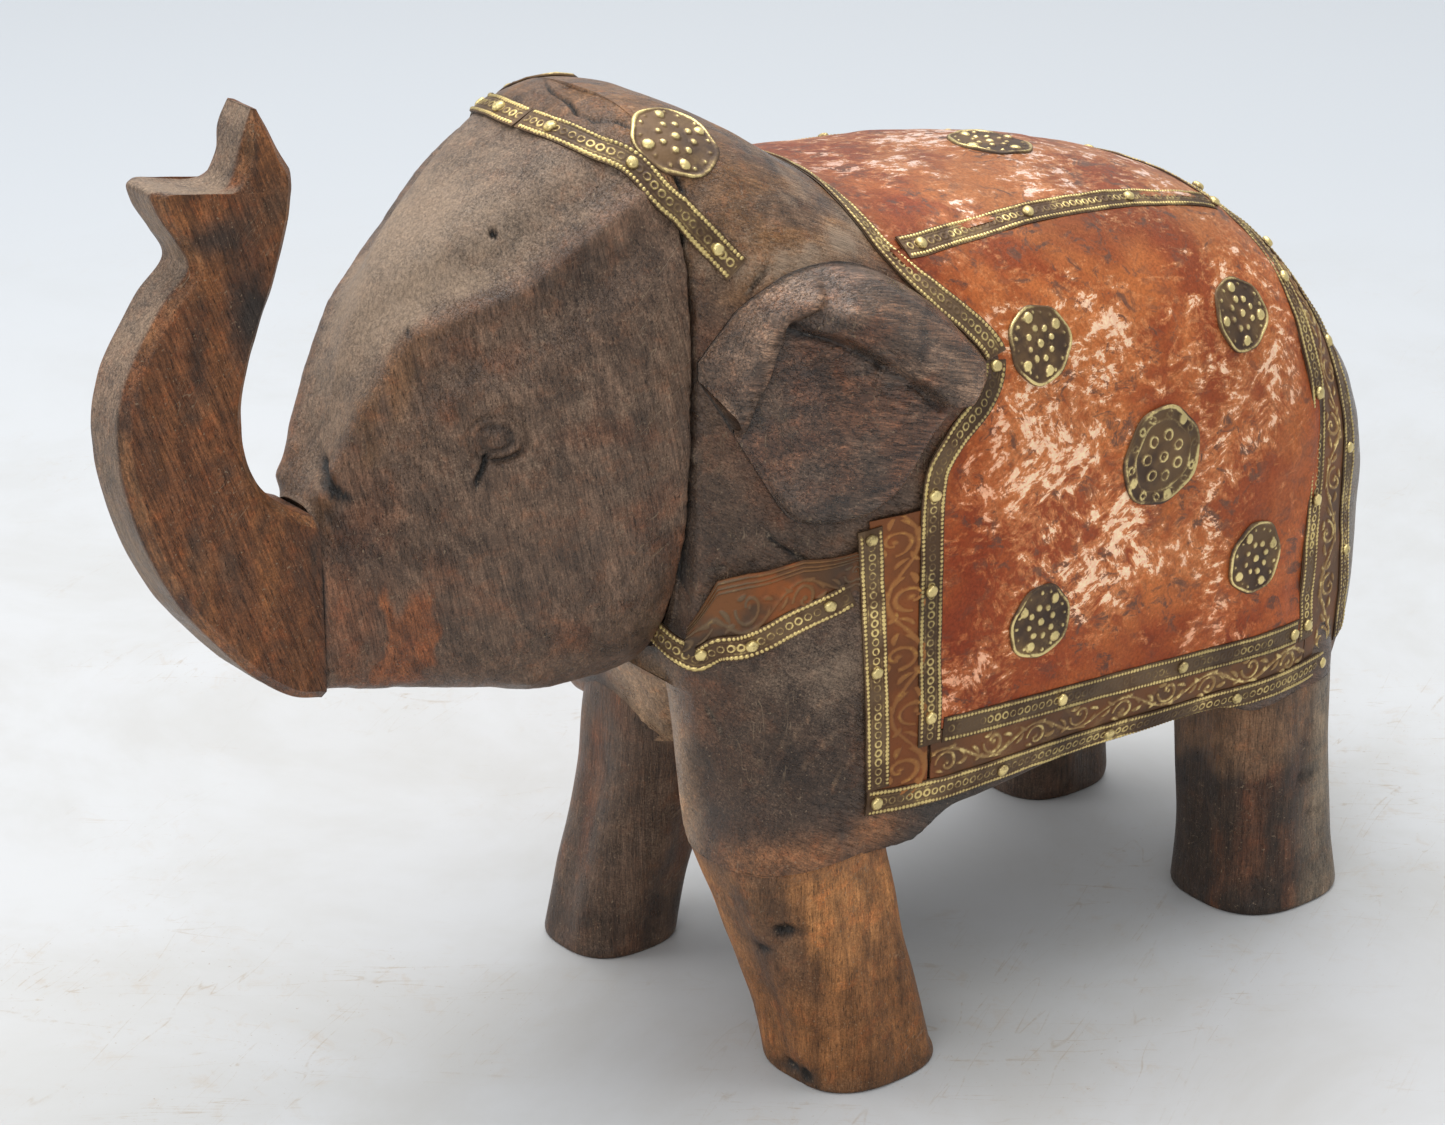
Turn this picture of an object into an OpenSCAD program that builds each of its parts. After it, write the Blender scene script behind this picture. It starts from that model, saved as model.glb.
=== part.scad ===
// Carved wooden elephant with a raised trunk and a sheet copper saddle.
// The head faces -X, its left flank faces -Y, and the four soles stand on z = 0.
// The origin is on the ground, under the middle of the whole length.

/* [Wood joints] */
// Height of the glued joint between each leg and the body block
leg_joint_z = 62; // [58:1:66]
// Diameter of the pegs in the neck and the legs
peg_d = 10; // [8:1:12]
// Length of the pegs in the neck and the legs
peg_len = 36; // [28:1:40]
// Diameter of the pegs in the trunk and the ears
small_peg_d = 5; // [4:0.5:6]
// Length of the peg in the trunk
trunk_peg_len = 20; // [14:1:24]
// Length of the peg in each ear
ear_peg_len = 10; // [8:1:11]

/* [Sheet metal] */
// Thickness of the copper and brass sheets
sheet_t = 0.5; // [0.4:0.1:0.8]
// Clearance between the copper and the wood
sheet_gap = 0.3; // [0.2:0.05:0.4]
// Width of the brass strips
strip_w = 6.6; // [6:0.2:8]

/* [Rosettes and tacks] */
// Diameter of the four small rosettes on each flank
rosette_d = 19.5; // [17:0.5:21]
// Diameter of the large rosette in the middle of each flank
centre_rosette_d = 26; // [23:0.5:28]
// Diameter of the rosettes on the crown and the back
crown_rosette_d = 22; // [19:0.5:24]
// Diameter of a tack head
tack_d = 3.2; // [2.8:0.1:3.6]
// Height of a tack head
tack_h = 0.9; // [0.6:0.1:1.2]

/* [Hidden] */

wood = "#4a3526";
worn_wood = "#7a4327";
raw_wood = "#96602f";
peg_wood = "#b08a5a";
copper = "#a8502f";
brass = "#8f7a45";
old_brass = "#6b5434";

// Where the two glue faces cross the length
neck_joint_x = -57;
trunk_joint_x = -138;
// Where the rump ends
rump_x = 184.5;

// Sections of the neck and body block, from the neck's glue face to the rump:
// x, half width, height of the widest point, bottom, top, roundness above, roundness below
body_sections = [
    [-57, 42.5, 185, 100, 248, 2.9, 3.6],
    [-51, 45.5, 180, 80, 247, 2.9, 4],
    [-41, 51, 172, 54, 244, 2.9, 5.5],
    [-26, 57, 162, 44, 236.5, 2.8, 7.5],
    [-11, 60, 155, 44, 226.5, 2.8, 8],
    [3, 62, 150, 46, 218, 2.8, 7],
    [25, 63, 148, 50, 215.5, 2.7, 5.5],
    [50, 63, 146, 52, 213, 2.6, 5],
    [80, 63, 142, 52, 208, 2.5, 5],
    [100, 62.5, 138, 50, 203, 2.5, 5.5],
    [115, 61.5, 134, 46, 198, 2.5, 7],
    [125, 60, 130, 44, 193, 2.5, 7.5],
    [136, 57.5, 126, 44, 185, 2.5, 7.5],
    [150, 53, 120, 46, 171, 2.4, 6],
    [160, 48, 115, 50, 159, 2.4, 4.5],
    [168, 42, 111, 55, 147, 2.3, 3.4],
    [175, 34, 108, 64, 135, 2.2, 2.8],
    [181, 23, 105, 78, 121, 2.1, 2.3],
    [184.5, 11, 103, 92, 112, 2, 2],
];

// How far the underside of the body rises above the leg joints:
// x, over the left legs, in the middle, over the right legs
underside_lift = [
    [-57, 46, 54, 49],
    [-53, 22, 52, 47],
    [-49, 4, 48, 44],
    [-46, 0, 45, 42],
    [-30, 0, 30, 27],
    [-20, 0, 20, 5],
    [-10, 0, 13, 0],
    [-3, 0, 8, 0],
    [8, 6, 6, 0],
    [18, 6, 6, 2],
    [30, 6, 6, 6],
    [100, 6, 6, 6],
    [112, 1, 6, 1],
    [118, 0, 7, 0],
    [135, 0, 12, 0],
    [158, 0, 14, 0],
    [168, 3, 15, 3],
    [175, 8, 16, 8],
    [185, 24, 26, 24],
];

// Sections of the head block, from the neck's glue face to the trunk's glue face
head_sections = [
    [-138, 11, 144, 122, 167, 3.2, 4],
    [-134, 12, 146, 121, 172, 3, 4],
    [-130, 13.5, 150, 120, 184, 2.8, 3.6],
    [-126, 15, 154, 118.5, 197, 2.6, 3.4],
    [-118, 19, 158, 117, 211, 2.5, 3.2],
    [-110, 24, 160, 115, 220, 2.5, 3],
    [-100, 29, 164, 113, 227.5, 2.6, 3],
    [-90, 34, 170, 111, 233.5, 2.7, 2.8],
    [-80, 38, 177, 109, 239.5, 2.8, 2.6],
    [-70, 41, 182, 107, 244.5, 2.8, 2.5],
    [-64, 42, 184, 106, 247, 2.8, 2.4],
    [-57, 42.5, 185, 106, 248, 2.9, 2.3],
];

// Sections across the trunk, from its root to its tip:
// x and z on the front edge, x and z on the back edge, half thickness
trunk_sections = [
    [-138, 121, -138, 166, 11],
    [-146, 123.5, -142, 168, 10.7],
    [-155, 130.5, -146, 171, 10.3],
    [-165, 142, -150, 175, 9.8],
    [-173, 153, -152, 179, 9.4],
    [-180, 168, -153.5, 184, 9],
    [-184, 183, -154, 189, 8.7],
    [-185, 195, -153.5, 196, 8.5],
    [-182.5, 206, -151.5, 203, 8.3],
    [-178, 214, -149, 210, 8.2],
    [-172, 222, -145, 218, 8.1],
    [-165, 229, -142, 225, 8],
    [-168, 236, -140.5, 230, 8],
    [-172, 243, -139, 235, 8],
    [-172, 247.5, -138, 240, 7.8],
    [-160, 244.5, -137.5, 242, 7.6],
    [-154, 245, -137.5, 245, 7.4],
    [-151, 250, -139, 248, 7.2],
    [-149.5, 256, -142.5, 254, 6.8],
    [-147, 261, -145.5, 260.5, 5],
];

// Sections up each leg: z, centre x, centre y, half length, half width
front_left_leg = [[0, -11, -46, 20.5, 19], [18, -14, -44, 20, 19], [40, -20, -41, 21, 19.5], [62, -25, -37, 23, 20.5]];
front_right_leg = [[0, -19, 43, 16.5, 16], [18, -16, 42, 16.5, 16], [40, -10, 40, 17.5, 17], [62, -4, 38, 19.5, 19]];
rear_left_leg = [[0, 135, -43, 21.5, 20], [18, 134, -42, 19.5, 19], [40, 133, -41, 19.5, 19], [62, 134, -39, 20, 18.5]];
rear_right_leg = [[0, 134, 41, 18, 16.5], [18, 133, 41, 18, 17], [40, 132, 40, 19.5, 19], [62, 132, 39, 20.5, 18.5]];

// Outline of an ear's flap: x, lower edge, upper edge, distance of its face from the middle plane
ear_outline = [
    [-57, 190, 193, 46],
    [-52, 181, 200, 49],
    [-47, 171, 206, 52],
    [-38, 154.5, 211, 57],
    [-30, 151.5, 212.5, 60.5],
    [-22, 152, 212, 63],
    [-14, 156, 209.5, 65],
    [-6, 164, 205, 66.5],
    [2, 171.5, 198.5, 67.5],
    [8, 177, 190.5, 68],
    [12, 181, 185, 68],
];

// Centre lines of the strips that run up the flank, by section angle:
// angle, x of the front strip, x of the inner rear strip, x of the outer rear strip
strip_lines = [
    [-70, -0.5, 132, 150],
    [-42, -0.5, 132.5, 152],
    [-30, -1, 132, 152.5],
    [-15, -1, 133, 152],
    [6, -0.5, 133.5, 150.5],
    [14.5, 5, 133, 149.5],
    [22, 15, 132, 148],
    [29, 19.5, 130.5, 146.5],
    [34, 17, 130, 145.5],
    [43, 7, 129.5, 143.5],
    [51, 0, 128.5, 142],
    [62, -4, 125, 138.5],
    [90, -2, 121, 134],
];
front_corner_angle = 29.5;
ear_hides_z = 150;

// Centre line of the strip over the forehead: section angle, x
forehead_line = [
    [33, -38], [37, -43], [45, -52.5], [52.5, -59.4], [62.7, -64], [70.5, -69], [82, -72], [90, -72.5],
];
// The collar: x, section angle of its strip, section angle of the upper edge of its band
collar_lines = [[-57, -61, -50], [-52, -54, -40], [-46, -48.2, -32], [-34, -35.6, -17], [-21.5, -24.5, -12]];

// Rosettes on a flank, as [x, z]
small_rosettes = [[34, 182], [105, 173], [33, 112], [108, 108.5]];
centre_rosette = [72, 145.5];

// ---- interpolation ----
function between(a, b, t) = a + (b - a) * t;
function span_of(t, x) = min(len(t) - 2, max([0, each [for (i = [0:len(t) - 2]) if (t[i][0] <= x) i]]));
function slope_at(t, i, c) =
    let (lo = max(i - 1, 0), hi = min(i + 1, len(t) - 1))
    (t[hi][c] - t[lo][c]) / (t[hi][0] - t[lo][0]);
function smooth(t, x, c) =
    let (
        i = span_of(t, x),
        h = t[i + 1][0] - t[i][0],
        u = min(1, max(0, (x - t[i][0]) / h)),
        a = t[i][c],
        b = t[i + 1][c],
        ma = slope_at(t, i, c) * h,
        mb = slope_at(t, i + 1, c) * h
    )
    a * (2 * u * u * u - 3 * u * u + 1) + ma * (u * u * u - 2 * u * u + u)
        + b * (3 * u * u - 2 * u * u * u) + mb * (u * u * u - u * u);

// ---- a point on a block's skin, at an angle round its section ----
function skin(t, x, a, off = 0) =
    let (
        above = sin(a) >= 0,
        w = smooth(t, x, 1) + off,
        zm = smooth(t, x, 2),
        h = (above ? smooth(t, x, 4) - zm : zm - smooth(t, x, 3)) + off,
        n = smooth(t, x, above ? 5 : 6),
        r = pow(pow(abs(cos(a)) / w, n) + pow(abs(sin(a)) / h, n), -1 / n)
    )
    [x, r * cos(a), zm + r * sin(a)];
function underside(x, y) =
    let (
        t = max(-1, min(1, y / 16)),
        side = smooth(underside_lift, x, t < 0 ? 1 : 3)
    )
    leg_joint_z + max(0, between(smooth(underside_lift, x, 2), side, t * t));
// A point on the body, or on the head in front of the glue face between them
function body_point(x, a, off = 0) =
    x < neck_joint_x
        ? skin(head_sections, x, a, off)
        : let (p = skin(body_sections, x, a, off)) [p[0], p[1], max(p[2], underside(p[0], p[1]) - off)];
// Angle of the skin's point at a height, or at a distance from the middle plane
function angle_at_z(t, x, z) =
    let (
        zm = smooth(t, x, 2),
        above = z >= zm,
        h = above ? smooth(t, x, 4) - zm : zm - smooth(t, x, 3),
        n = smooth(t, x, above ? 5 : 6),
        q = min(1, abs(z - zm) / h)
    )
    atan2(z - zm, smooth(t, x, 1) * pow(1 - pow(q, n), 1 / n));
function angle_at_y(t, x, y) =
    let (
        zm = smooth(t, x, 2),
        n = smooth(t, x, 5),
        q = min(1, abs(y) / smooth(t, x, 1))
    )
    atan2((smooth(t, x, 4) - zm) * pow(1 - pow(q, n), 1 / n), y);

// ---- solids from rings of points, and thin shells from a grid of points ----
module rings(points, around) {
    last = len(points) / around - 1;
    polyhedron(points, [
        [for (j = [0:around - 1]) j],
        [for (j = [around - 1:-1:0]) last * around + j],
        for (i = [0:last - 1], j = [0:around - 1])
            let (k = (j + 1) % around)
            each [
                [i * around + j, (i + 1) * around + j, (i + 1) * around + k],
                [i * around + j, (i + 1) * around + k, i * around + k],
            ],
    ]);
}

// f is a function of u, v and the height above the skin
module shell(f, nu, nv, low, high) {
    row = nv + 1;
    top = (nu + 1) * row;
    polyhedron(
        [
            for (off = [low, high], i = [0:nu], j = [0:nv]) f(i / nu, j / nv, off),
        ],
        [
            for (i = [0:nu - 1], j = [0:nv - 1])
                let (a = i * row + j, b = a + row)
                each [
                    [a, a + 1, b + 1], [a, b + 1, b],
                    [top + a, top + b + 1, top + a + 1], [top + a, top + b, top + b + 1],
                ],
            for (i = [0:nu - 1])
                let (a = i * row, b = a + row, c = a + nv, d = b + nv)
                each [
                    [a, b, top + b], [a, top + b, top + a],
                    [c, top + d, d], [c, top + c, top + d],
                ],
            for (j = [0:nv - 1])
                let (a = j, c = nu * row + j)
                each [
                    [a, top + a, top + a + 1], [a, top + a + 1, a + 1],
                    [c, top + c + 1, top + c], [c, c + 1, top + c + 1],
                ],
        ]
    );
}

module both_flanks(side) {
    mirror([0, side < 0 ? 1 : 0, 0]) children();
}

// ---- wood ----
module body_block() {
    around = 48;
    steps = 48;
    color(wood) difference() {
        rings([
            for (i = [0:steps], j = [0:around - 1])
                let (u = i / steps, closer = (1 - cos(180 * u)) / 2)
                body_point(between(neck_joint_x, rump_x, (u + closer) / 2), 360 * (j + 0.5) / around),
        ], around);
        neck_peg_shape(peg_d);
        leg_peg_shapes(peg_d);
        for (side = [-1, 1]) ear_peg_shape(side);
    }
}

module head_block() {
    around = 44;
    color(wood) difference() {
        rings([
            for (i = [0:26], j = [0:around - 1])
                skin(head_sections, between(trunk_joint_x, neck_joint_x, i / 26), 360 * (j + 0.5) / around),
        ], around);
        neck_peg_shape(peg_d);
        trunk_peg_shape();
    }
}

function trunk_ring(s) =
    let (
        o = [s[0], s[1]],
        i = [s[2], s[3]],
        l = norm(i - o),
        d = (i - o) / l,
        t = s[4],
        c = min(2.4, l * 0.25),
        e = [[0, c - t], [c, -t], [l - c, -t], [l, c - t], [l, t - c], [l - c, t], [c, t], [0, t - c]]
    )
    [for (p = e) [o[0] + d[0] * p[0], p[1], o[1] + d[1] * p[0]]];

module trunk() {
    color(worn_wood) difference() {
        rings([for (s = trunk_sections) each trunk_ring(s)], 8);
        trunk_peg_shape();
    }
}

module leg(sections, tint) {
    around = 28;
    color(tint) difference() {
        rings([
            for (i = [0:10], j = [0:around - 1])
                let (
                    z = leg_joint_z * i / 10,
                    a = 360 * j / around,
                    n = 2.6,
                    r = pow(pow(abs(cos(a)), n) + pow(abs(sin(a)), n), -1 / n)
                )
                [
                    smooth(sections, z, 1) + smooth(sections, z, 3) * r * cos(a),
                    smooth(sections, z, 2) + smooth(sections, z, 4) * r * sin(a),
                    z,
                ],
        ], around);
        leg_peg_shapes(peg_d);
    }
}

// Rolled rim along the upper edge of the ear, and the hollow under it
function ear_relief(u, v) =
    2.2 * exp(-pow((v - 0.86) / 0.12, 2)) - 3 * exp(-pow((v - 0.5) / 0.22, 2) - pow((u - 0.6) / 0.3, 2));

function ear_point(u, v, face) =
    let (
        x = between(-56, 12, u),
        z = between(smooth(ear_outline, x, 1), smooth(ear_outline, x, 2), v),
        clear = x > -24 ? 3 : 0.3,
        inner = skin(body_sections, x, angle_at_z(body_sections, x, z), clear)[1],
        edge = min(1, 6 * min(v, 1 - v), 6 * (1 - u)),
        crest = smooth(ear_outline, x, 3) + ear_relief(u, v) - 2.5 * (1 - edge)
    )
    [x, face == 0 ? inner : max(crest, inner + 1.5), z];

module ear(side) {
    color(wood) difference() {
        both_flanks(side) shell(function(u, v, face) ear_point(u, v, face), 20, 14, 0, 1);
        ear_peg_shape(side);
    }
}

module neck_peg_shape(d) {
    translate([neck_joint_x - peg_len / 2, 0, 185]) rotate([0, 90, 0]) cylinder(d = d, h = peg_len, $fn = 48);
}

module trunk_peg_shape() {
    translate([trunk_joint_x - trunk_peg_len / 2, 0, 144]) rotate([0, 90, 0])
        cylinder(d = small_peg_d, h = trunk_peg_len, $fn = 48);
}

module leg_peg_shapes(d) {
    for (s = [front_left_leg, front_right_leg, rear_left_leg, rear_right_leg])
        translate([s[3][1], s[3][2], leg_joint_z - peg_len / 2]) cylinder(d = d, h = peg_len, $fn = 48);
}

module ear_peg_shape(side) {
    translate([-14, side * 57, 185]) rotate([-90 * side, 0, 0])
        translate([0, 0, -ear_peg_len / 2]) cylinder(d = small_peg_d, h = ear_peg_len, $fn = 48);
}

// ---- sheet metal ----
// Everything here is drawn on the right flank, and both_flanks() mirrors it for the left one
copper_low = sheet_gap;
copper_high = sheet_gap + sheet_t;
strip_low = copper_high + 0.2;
strip_high = strip_low + sheet_t;

function outer_z(x) = 75.3 - 0.057 * x;
function inner_z(x) = 91.5 - 0.08 * x;
function outer_front_x(a) = -19 - 0.083 * a;
function top_y(x) = 43.5 - 0.118 * x;
function body_angle(x, z) = angle_at_z(body_sections, x, z);
function top_angle(x, y) = angle_at_y(body_sections, x, y);
// x of a flank line at an angle past either side of the ridge
function line_x(c, a) = smooth(strip_lines, a > 90 ? 180 - a : a, c);
// x of a strip's edge, widened where the strip runs aslant
function edge_x(table, c, a, side) =
    let (
        b = a > 90 ? 180 - a : a,
        lean = (smooth(table, b + 1, c) - smooth(table, b - 1, c)) / 2.2
    )
    smooth(table, b, c) + side * strip_w / 2 * sqrt(1 + lean * lean);

function edge_angle(table, c, x, side) =
    let (lean = 0.6 * (smooth(table, x + 1, c) - smooth(table, x - 1, c)))
    smooth(table, x, c) + side * 0.42 * strip_w * sqrt(1 + lean * lean);

// A sheet between two lines across the body and two angles
module sheet(x0, x1, a0, a1, nu, nv, low, high) {
    shell(
        function(u, v, off)
            let (
                xm = between(x0(0), x1(0), u),
                am = between(a0(xm), a1(xm), v),
                x = between(x0(am), x1(am), u),
                a = between(a0(x), a1(x), v)
            )
            body_point(x, a, off),
        nu, nv, low, high
    );
}
// A strip that runs up the flank along a line, between two angles
module rising_strip(table, c, a0, a1, steps) {
    shell(
        function(u, v, off)
            let (a = between(a0, a1, u))
            body_point(between(edge_x(table, c, a, 1), edge_x(table, c, a, -1), v), a, off),
        steps, 2, strip_low, strip_high
    );
}
// A strip that runs along the body at a height
module level_strip(x0, x1, height, steps) {
    sheet(
        function(a) x0, function(a) x1,
        function(x) body_angle(x, height(x) - strip_w / 2),
        function(x) body_angle(x, height(x) + strip_w / 2),
        steps, 2, strip_low, strip_high
    );
}

module saddle_top_panel() {
    color(copper) sheet(
        function(a) line_x(1, a), function(a) line_x(2, a),
        function(x) top_angle(x, top_y(x) - 0.2), function(x) 180 - top_angle(x, top_y(x) - 0.2),
        26, 8, copper_low, copper_high
    );
}

module saddle_panel(side) {
    color(copper) both_flanks(side) sheet(
        function(a) line_x(1, a) + 0.2, function(a) line_x(2, a) - 0.2,
        function(x) body_angle(x, inner_z(x) + 0.2), function(x) top_angle(x, top_y(x) + 0.2),
        20, 15, copper_low, copper_high
    );
}

module front_border(side) {
    color(old_brass) both_flanks(side) sheet(
        function(a) outer_front_x(a), function(a) line_x(1, a) - 0.2,
        function(x) body_angle(x, outer_z(x)), function(x) body_angle(x, ear_hides_z),
        3, 10, copper_low, copper_high
    );
}

module bottom_border(side) {
    color(old_brass) both_flanks(side) sheet(
        function(a) 0.2, function(a) line_x(2, a) - 0.2,
        function(x) body_angle(x, outer_z(x)), function(x) body_angle(x, inner_z(x) - 0.2),
        16, 3, copper_low, copper_high
    );
}

module rear_border() {
    color(old_brass) sheet(
        function(a) line_x(2, a) + 0.2, function(a) line_x(3, a),
        function(x) body_angle(x, outer_z(x)), function(x) 180 - body_angle(x, outer_z(x)),
        2, 48, copper_low, copper_high
    );
}

module saddle_front_strip() {
    first = front_corner_angle + 0.5;
    color(brass) rising_strip(strip_lines, 1, first, 180 - first, 30);
}

module top_strip(side) {
    color(brass) both_flanks(side) sheet(
        function(a) edge_x(strip_lines, 1, a, 1) + 0.3, function(a) edge_x(strip_lines, 2, a, -1) - 0.3,
        function(x) top_angle(x, top_y(x) + strip_w / 2), function(x) top_angle(x, top_y(x) - strip_w / 2),
        14, 2, strip_low, strip_high
    );
}

module inner_front_strip(side) {
    color(brass) both_flanks(side) rising_strip(
        strip_lines, 1, body_angle(0, inner_z(0) - strip_w / 2), front_corner_angle - 0.5, 16
    );
}

module inner_bottom_strip(side) {
    color(brass) both_flanks(side)
        level_strip(strip_w / 2, 132 - strip_w / 2, function(x) inner_z(x), 16);
}

module inner_rear_strip() {
    first = body_angle(132, inner_z(132) - strip_w / 2);
    color(brass) rising_strip(strip_lines, 2, first, 180 - first, 48);
}

module outer_front_strip(side) {
    color(brass) both_flanks(side) sheet(
        function(a) outer_front_x(a) - strip_w / 2, function(a) outer_front_x(a) + strip_w / 2,
        function(x) body_angle(x, outer_z(x) + strip_w / 2 + 0.3), function(x) body_angle(x, ear_hides_z - 2),
        2, 12, strip_low, strip_high
    );
}

module outer_bottom_strip(side) {
    color(brass) both_flanks(side)
        level_strip(outer_front_x(-55) - strip_w / 2, 147, function(x) outer_z(x), 22);
}

module outer_rear_strip() {
    first = body_angle(151, outer_z(151) + strip_w / 2 + 0.4);
    color(brass) rising_strip(strip_lines, 3, first, 180 - first, 48);
}

module forehead_strip(side) {
    color(brass) both_flanks(side) rising_strip(forehead_line, 1, 40, 89.7, 16);
}

module collar_band(side) {
    color(old_brass) both_flanks(side) sheet(
        function(a) neck_joint_x + 0.2, function(a) outer_front_x(a) - strip_w / 2 - 0.3,
        function(x) smooth(collar_lines, x, 1), function(x) smooth(collar_lines, x, 2),
        16, 5, copper_low, copper_high
    );
}

module collar_strip(side) {
    color(brass) both_flanks(side) sheet(
        function(a) neck_joint_x + 0.2, function(a) outer_front_x(a) - strip_w / 2 - 0.5,
        function(x) edge_angle(collar_lines, 1, x, -1), function(x) edge_angle(collar_lines, 1, x, 1),
        12, 2, strip_low, strip_high
    );
}

// ---- rosettes and tacks ----
module on_skin(x, a, off) {
    ahead = body_point(x + 0.5, a) - body_point(x - 0.5, a);
    round_it = body_point(x, a + 0.5) - body_point(x, a - 0.5);
    n = cross(round_it, ahead) / norm(cross(round_it, ahead));
    translate(body_point(x, a, off)) rotate([0, acos(n[2]), atan2(n[1], n[0])]) children();
}

module rosette_disc(d) {
    r = d / 2;
    rotate_extrude($fn = 64) polygon([
        [0, 0], [r, 0], [r, 0.5], [r - 0.5, 0.9], [r - 1.3, 0.9], [r - 1.8, 0.5],
        [r * 0.27, 0.5], [r * 0.2, 1], [0, 1.2],
    ]);
}

module tack_head() {
    r = tack_d / 2;
    rotate_extrude($fn = 32) polygon([[0, 0], [r, 0], [r * 0.85, tack_h * 0.6], [r * 0.45, tack_h * 0.95], [0, tack_h]]);
}

module rosettes(side) {
    color(old_brass) both_flanks(side) for (p = small_rosettes)
        on_skin(p[0], body_angle(p[0], p[1]), strip_low) rosette_disc(rosette_d);
}

module centre_rosette_disc(side) {
    color(old_brass) both_flanks(side)
        on_skin(centre_rosette[0], body_angle(centre_rosette[0], centre_rosette[1]), strip_low)
            rosette_disc(centre_rosette_d);
}

module back_rosette() {
    color(old_brass) on_skin(70, 90, strip_low) rosette_disc(crown_rosette_d);
}

module crown_rosettes() {
    color(old_brass) for (side = [-1, 1])
        both_flanks(side) on_skin(-50, top_angle(-50, 27), 0.6) rosette_disc(crown_rosette_d);
}

module saddle_tacks(side) {
    color(brass) both_flanks(side) {
        for (x = [-15, 24, 62, 106, 142]) on_skin(x, body_angle(x, outer_z(x)), strip_high + 0.1) tack_head();
        for (x = [42, 84, 126]) on_skin(x, body_angle(x, inner_z(x)), strip_high + 0.1) tack_head();
        for (x = [10, 48, 86, 120]) on_skin(x, top_angle(x, top_y(x)), strip_high + 0.1) tack_head();
        for (a = [-42, -20, 2, 28]) on_skin(line_x(1, a), a, strip_high + 0.1) tack_head();
        for (a = [-38, -10, 18, 45, 72]) on_skin(line_x(2, a), a, strip_high + 0.1) tack_head();
        for (a = [-24, 6, 34, 60, 82]) on_skin(line_x(3, a), a, strip_high + 0.1) tack_head();
        for (a = [-38, -12]) on_skin(outer_front_x(a), a, strip_high + 0.1) tack_head();
    }
}

module collar_tacks() {
    color(brass) for (side = [-1, 1], x = [-54, -45, -28])
        both_flanks(side) on_skin(x, smooth(collar_lines, x, 1), strip_high + 0.1) tack_head();
}

module forehead_tacks() {
    color(brass) for (side = [-1, 1], a = [43, 62, 81])
        both_flanks(side) on_skin(smooth(forehead_line, a, 1), a, strip_high + 0.1) tack_head();
}

// ---- pegs ----
module neck_peg() {
    color(peg_wood) neck_peg_shape(peg_d);
}
module trunk_peg() {
    color(peg_wood) trunk_peg_shape();
}
module leg_pegs() {
    color(peg_wood) leg_peg_shapes(peg_d);
}
module ear_pegs() {
    color(peg_wood) for (side = [-1, 1]) ear_peg_shape(side);
}

body_block();
head_block();
trunk();
ear(-1);  // ear_left
ear(1);  // ear_right
leg(front_left_leg, raw_wood);  // leg_front_left
leg(front_right_leg, wood);  // leg_front_right
leg(rear_left_leg, wood);  // leg_rear_left
leg(rear_right_leg, wood);  // leg_rear_right
neck_peg();
trunk_peg();
leg_pegs();
ear_pegs();
saddle_top_panel();
saddle_panel(-1);  // saddle_panel_left
saddle_panel(1);  // saddle_panel_right
front_border(-1);  // front_border_left
front_border(1);  // front_border_right
bottom_border(-1);  // bottom_border_left
bottom_border(1);  // bottom_border_right
rear_border();
saddle_front_strip();
top_strip(-1);  // top_strip_left
top_strip(1);  // top_strip_right
inner_front_strip(-1);  // inner_front_strip_left
inner_front_strip(1);  // inner_front_strip_right
inner_bottom_strip(-1);  // inner_bottom_strip_left
inner_bottom_strip(1);  // inner_bottom_strip_right
inner_rear_strip();
outer_front_strip(-1);  // outer_front_strip_left
outer_front_strip(1);  // outer_front_strip_right
outer_bottom_strip(-1);  // outer_bottom_strip_left
outer_bottom_strip(1);  // outer_bottom_strip_right
outer_rear_strip();
forehead_strip(-1);  // forehead_strip_left
forehead_strip(1);  // forehead_strip_right
collar_band(-1);  // collar_band_left
collar_band(1);  // collar_band_right
collar_strip(-1);  // collar_strip_left
collar_strip(1);  // collar_strip_right
rosettes(-1);  // rosettes_left
rosettes(1);  // rosettes_right
centre_rosette_disc(-1);  // centre_rosette_left
centre_rosette_disc(1);  // centre_rosette_right
back_rosette();
crown_rosettes();
saddle_tacks(-1);  // saddle_tacks_left
saddle_tacks(1);  // saddle_tacks_right
collar_tacks();
forehead_tacks();
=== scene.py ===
"""Looks of the carved elephant: refined wood, copper sheet, embossed brass, lights, floor and camera."""
import math

import bpy
import numpy as np
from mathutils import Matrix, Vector


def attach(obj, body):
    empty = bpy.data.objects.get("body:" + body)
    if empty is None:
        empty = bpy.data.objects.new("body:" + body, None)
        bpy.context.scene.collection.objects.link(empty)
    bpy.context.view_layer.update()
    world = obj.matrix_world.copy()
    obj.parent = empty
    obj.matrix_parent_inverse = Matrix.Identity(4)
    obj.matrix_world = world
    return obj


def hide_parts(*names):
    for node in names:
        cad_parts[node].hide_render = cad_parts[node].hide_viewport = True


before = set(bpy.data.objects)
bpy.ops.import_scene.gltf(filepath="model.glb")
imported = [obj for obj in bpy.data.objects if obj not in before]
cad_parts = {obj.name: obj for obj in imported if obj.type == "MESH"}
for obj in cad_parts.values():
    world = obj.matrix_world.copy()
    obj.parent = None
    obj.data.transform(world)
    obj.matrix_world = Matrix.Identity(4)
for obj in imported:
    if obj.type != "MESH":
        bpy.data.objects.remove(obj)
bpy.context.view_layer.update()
MM = 0.001

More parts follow.
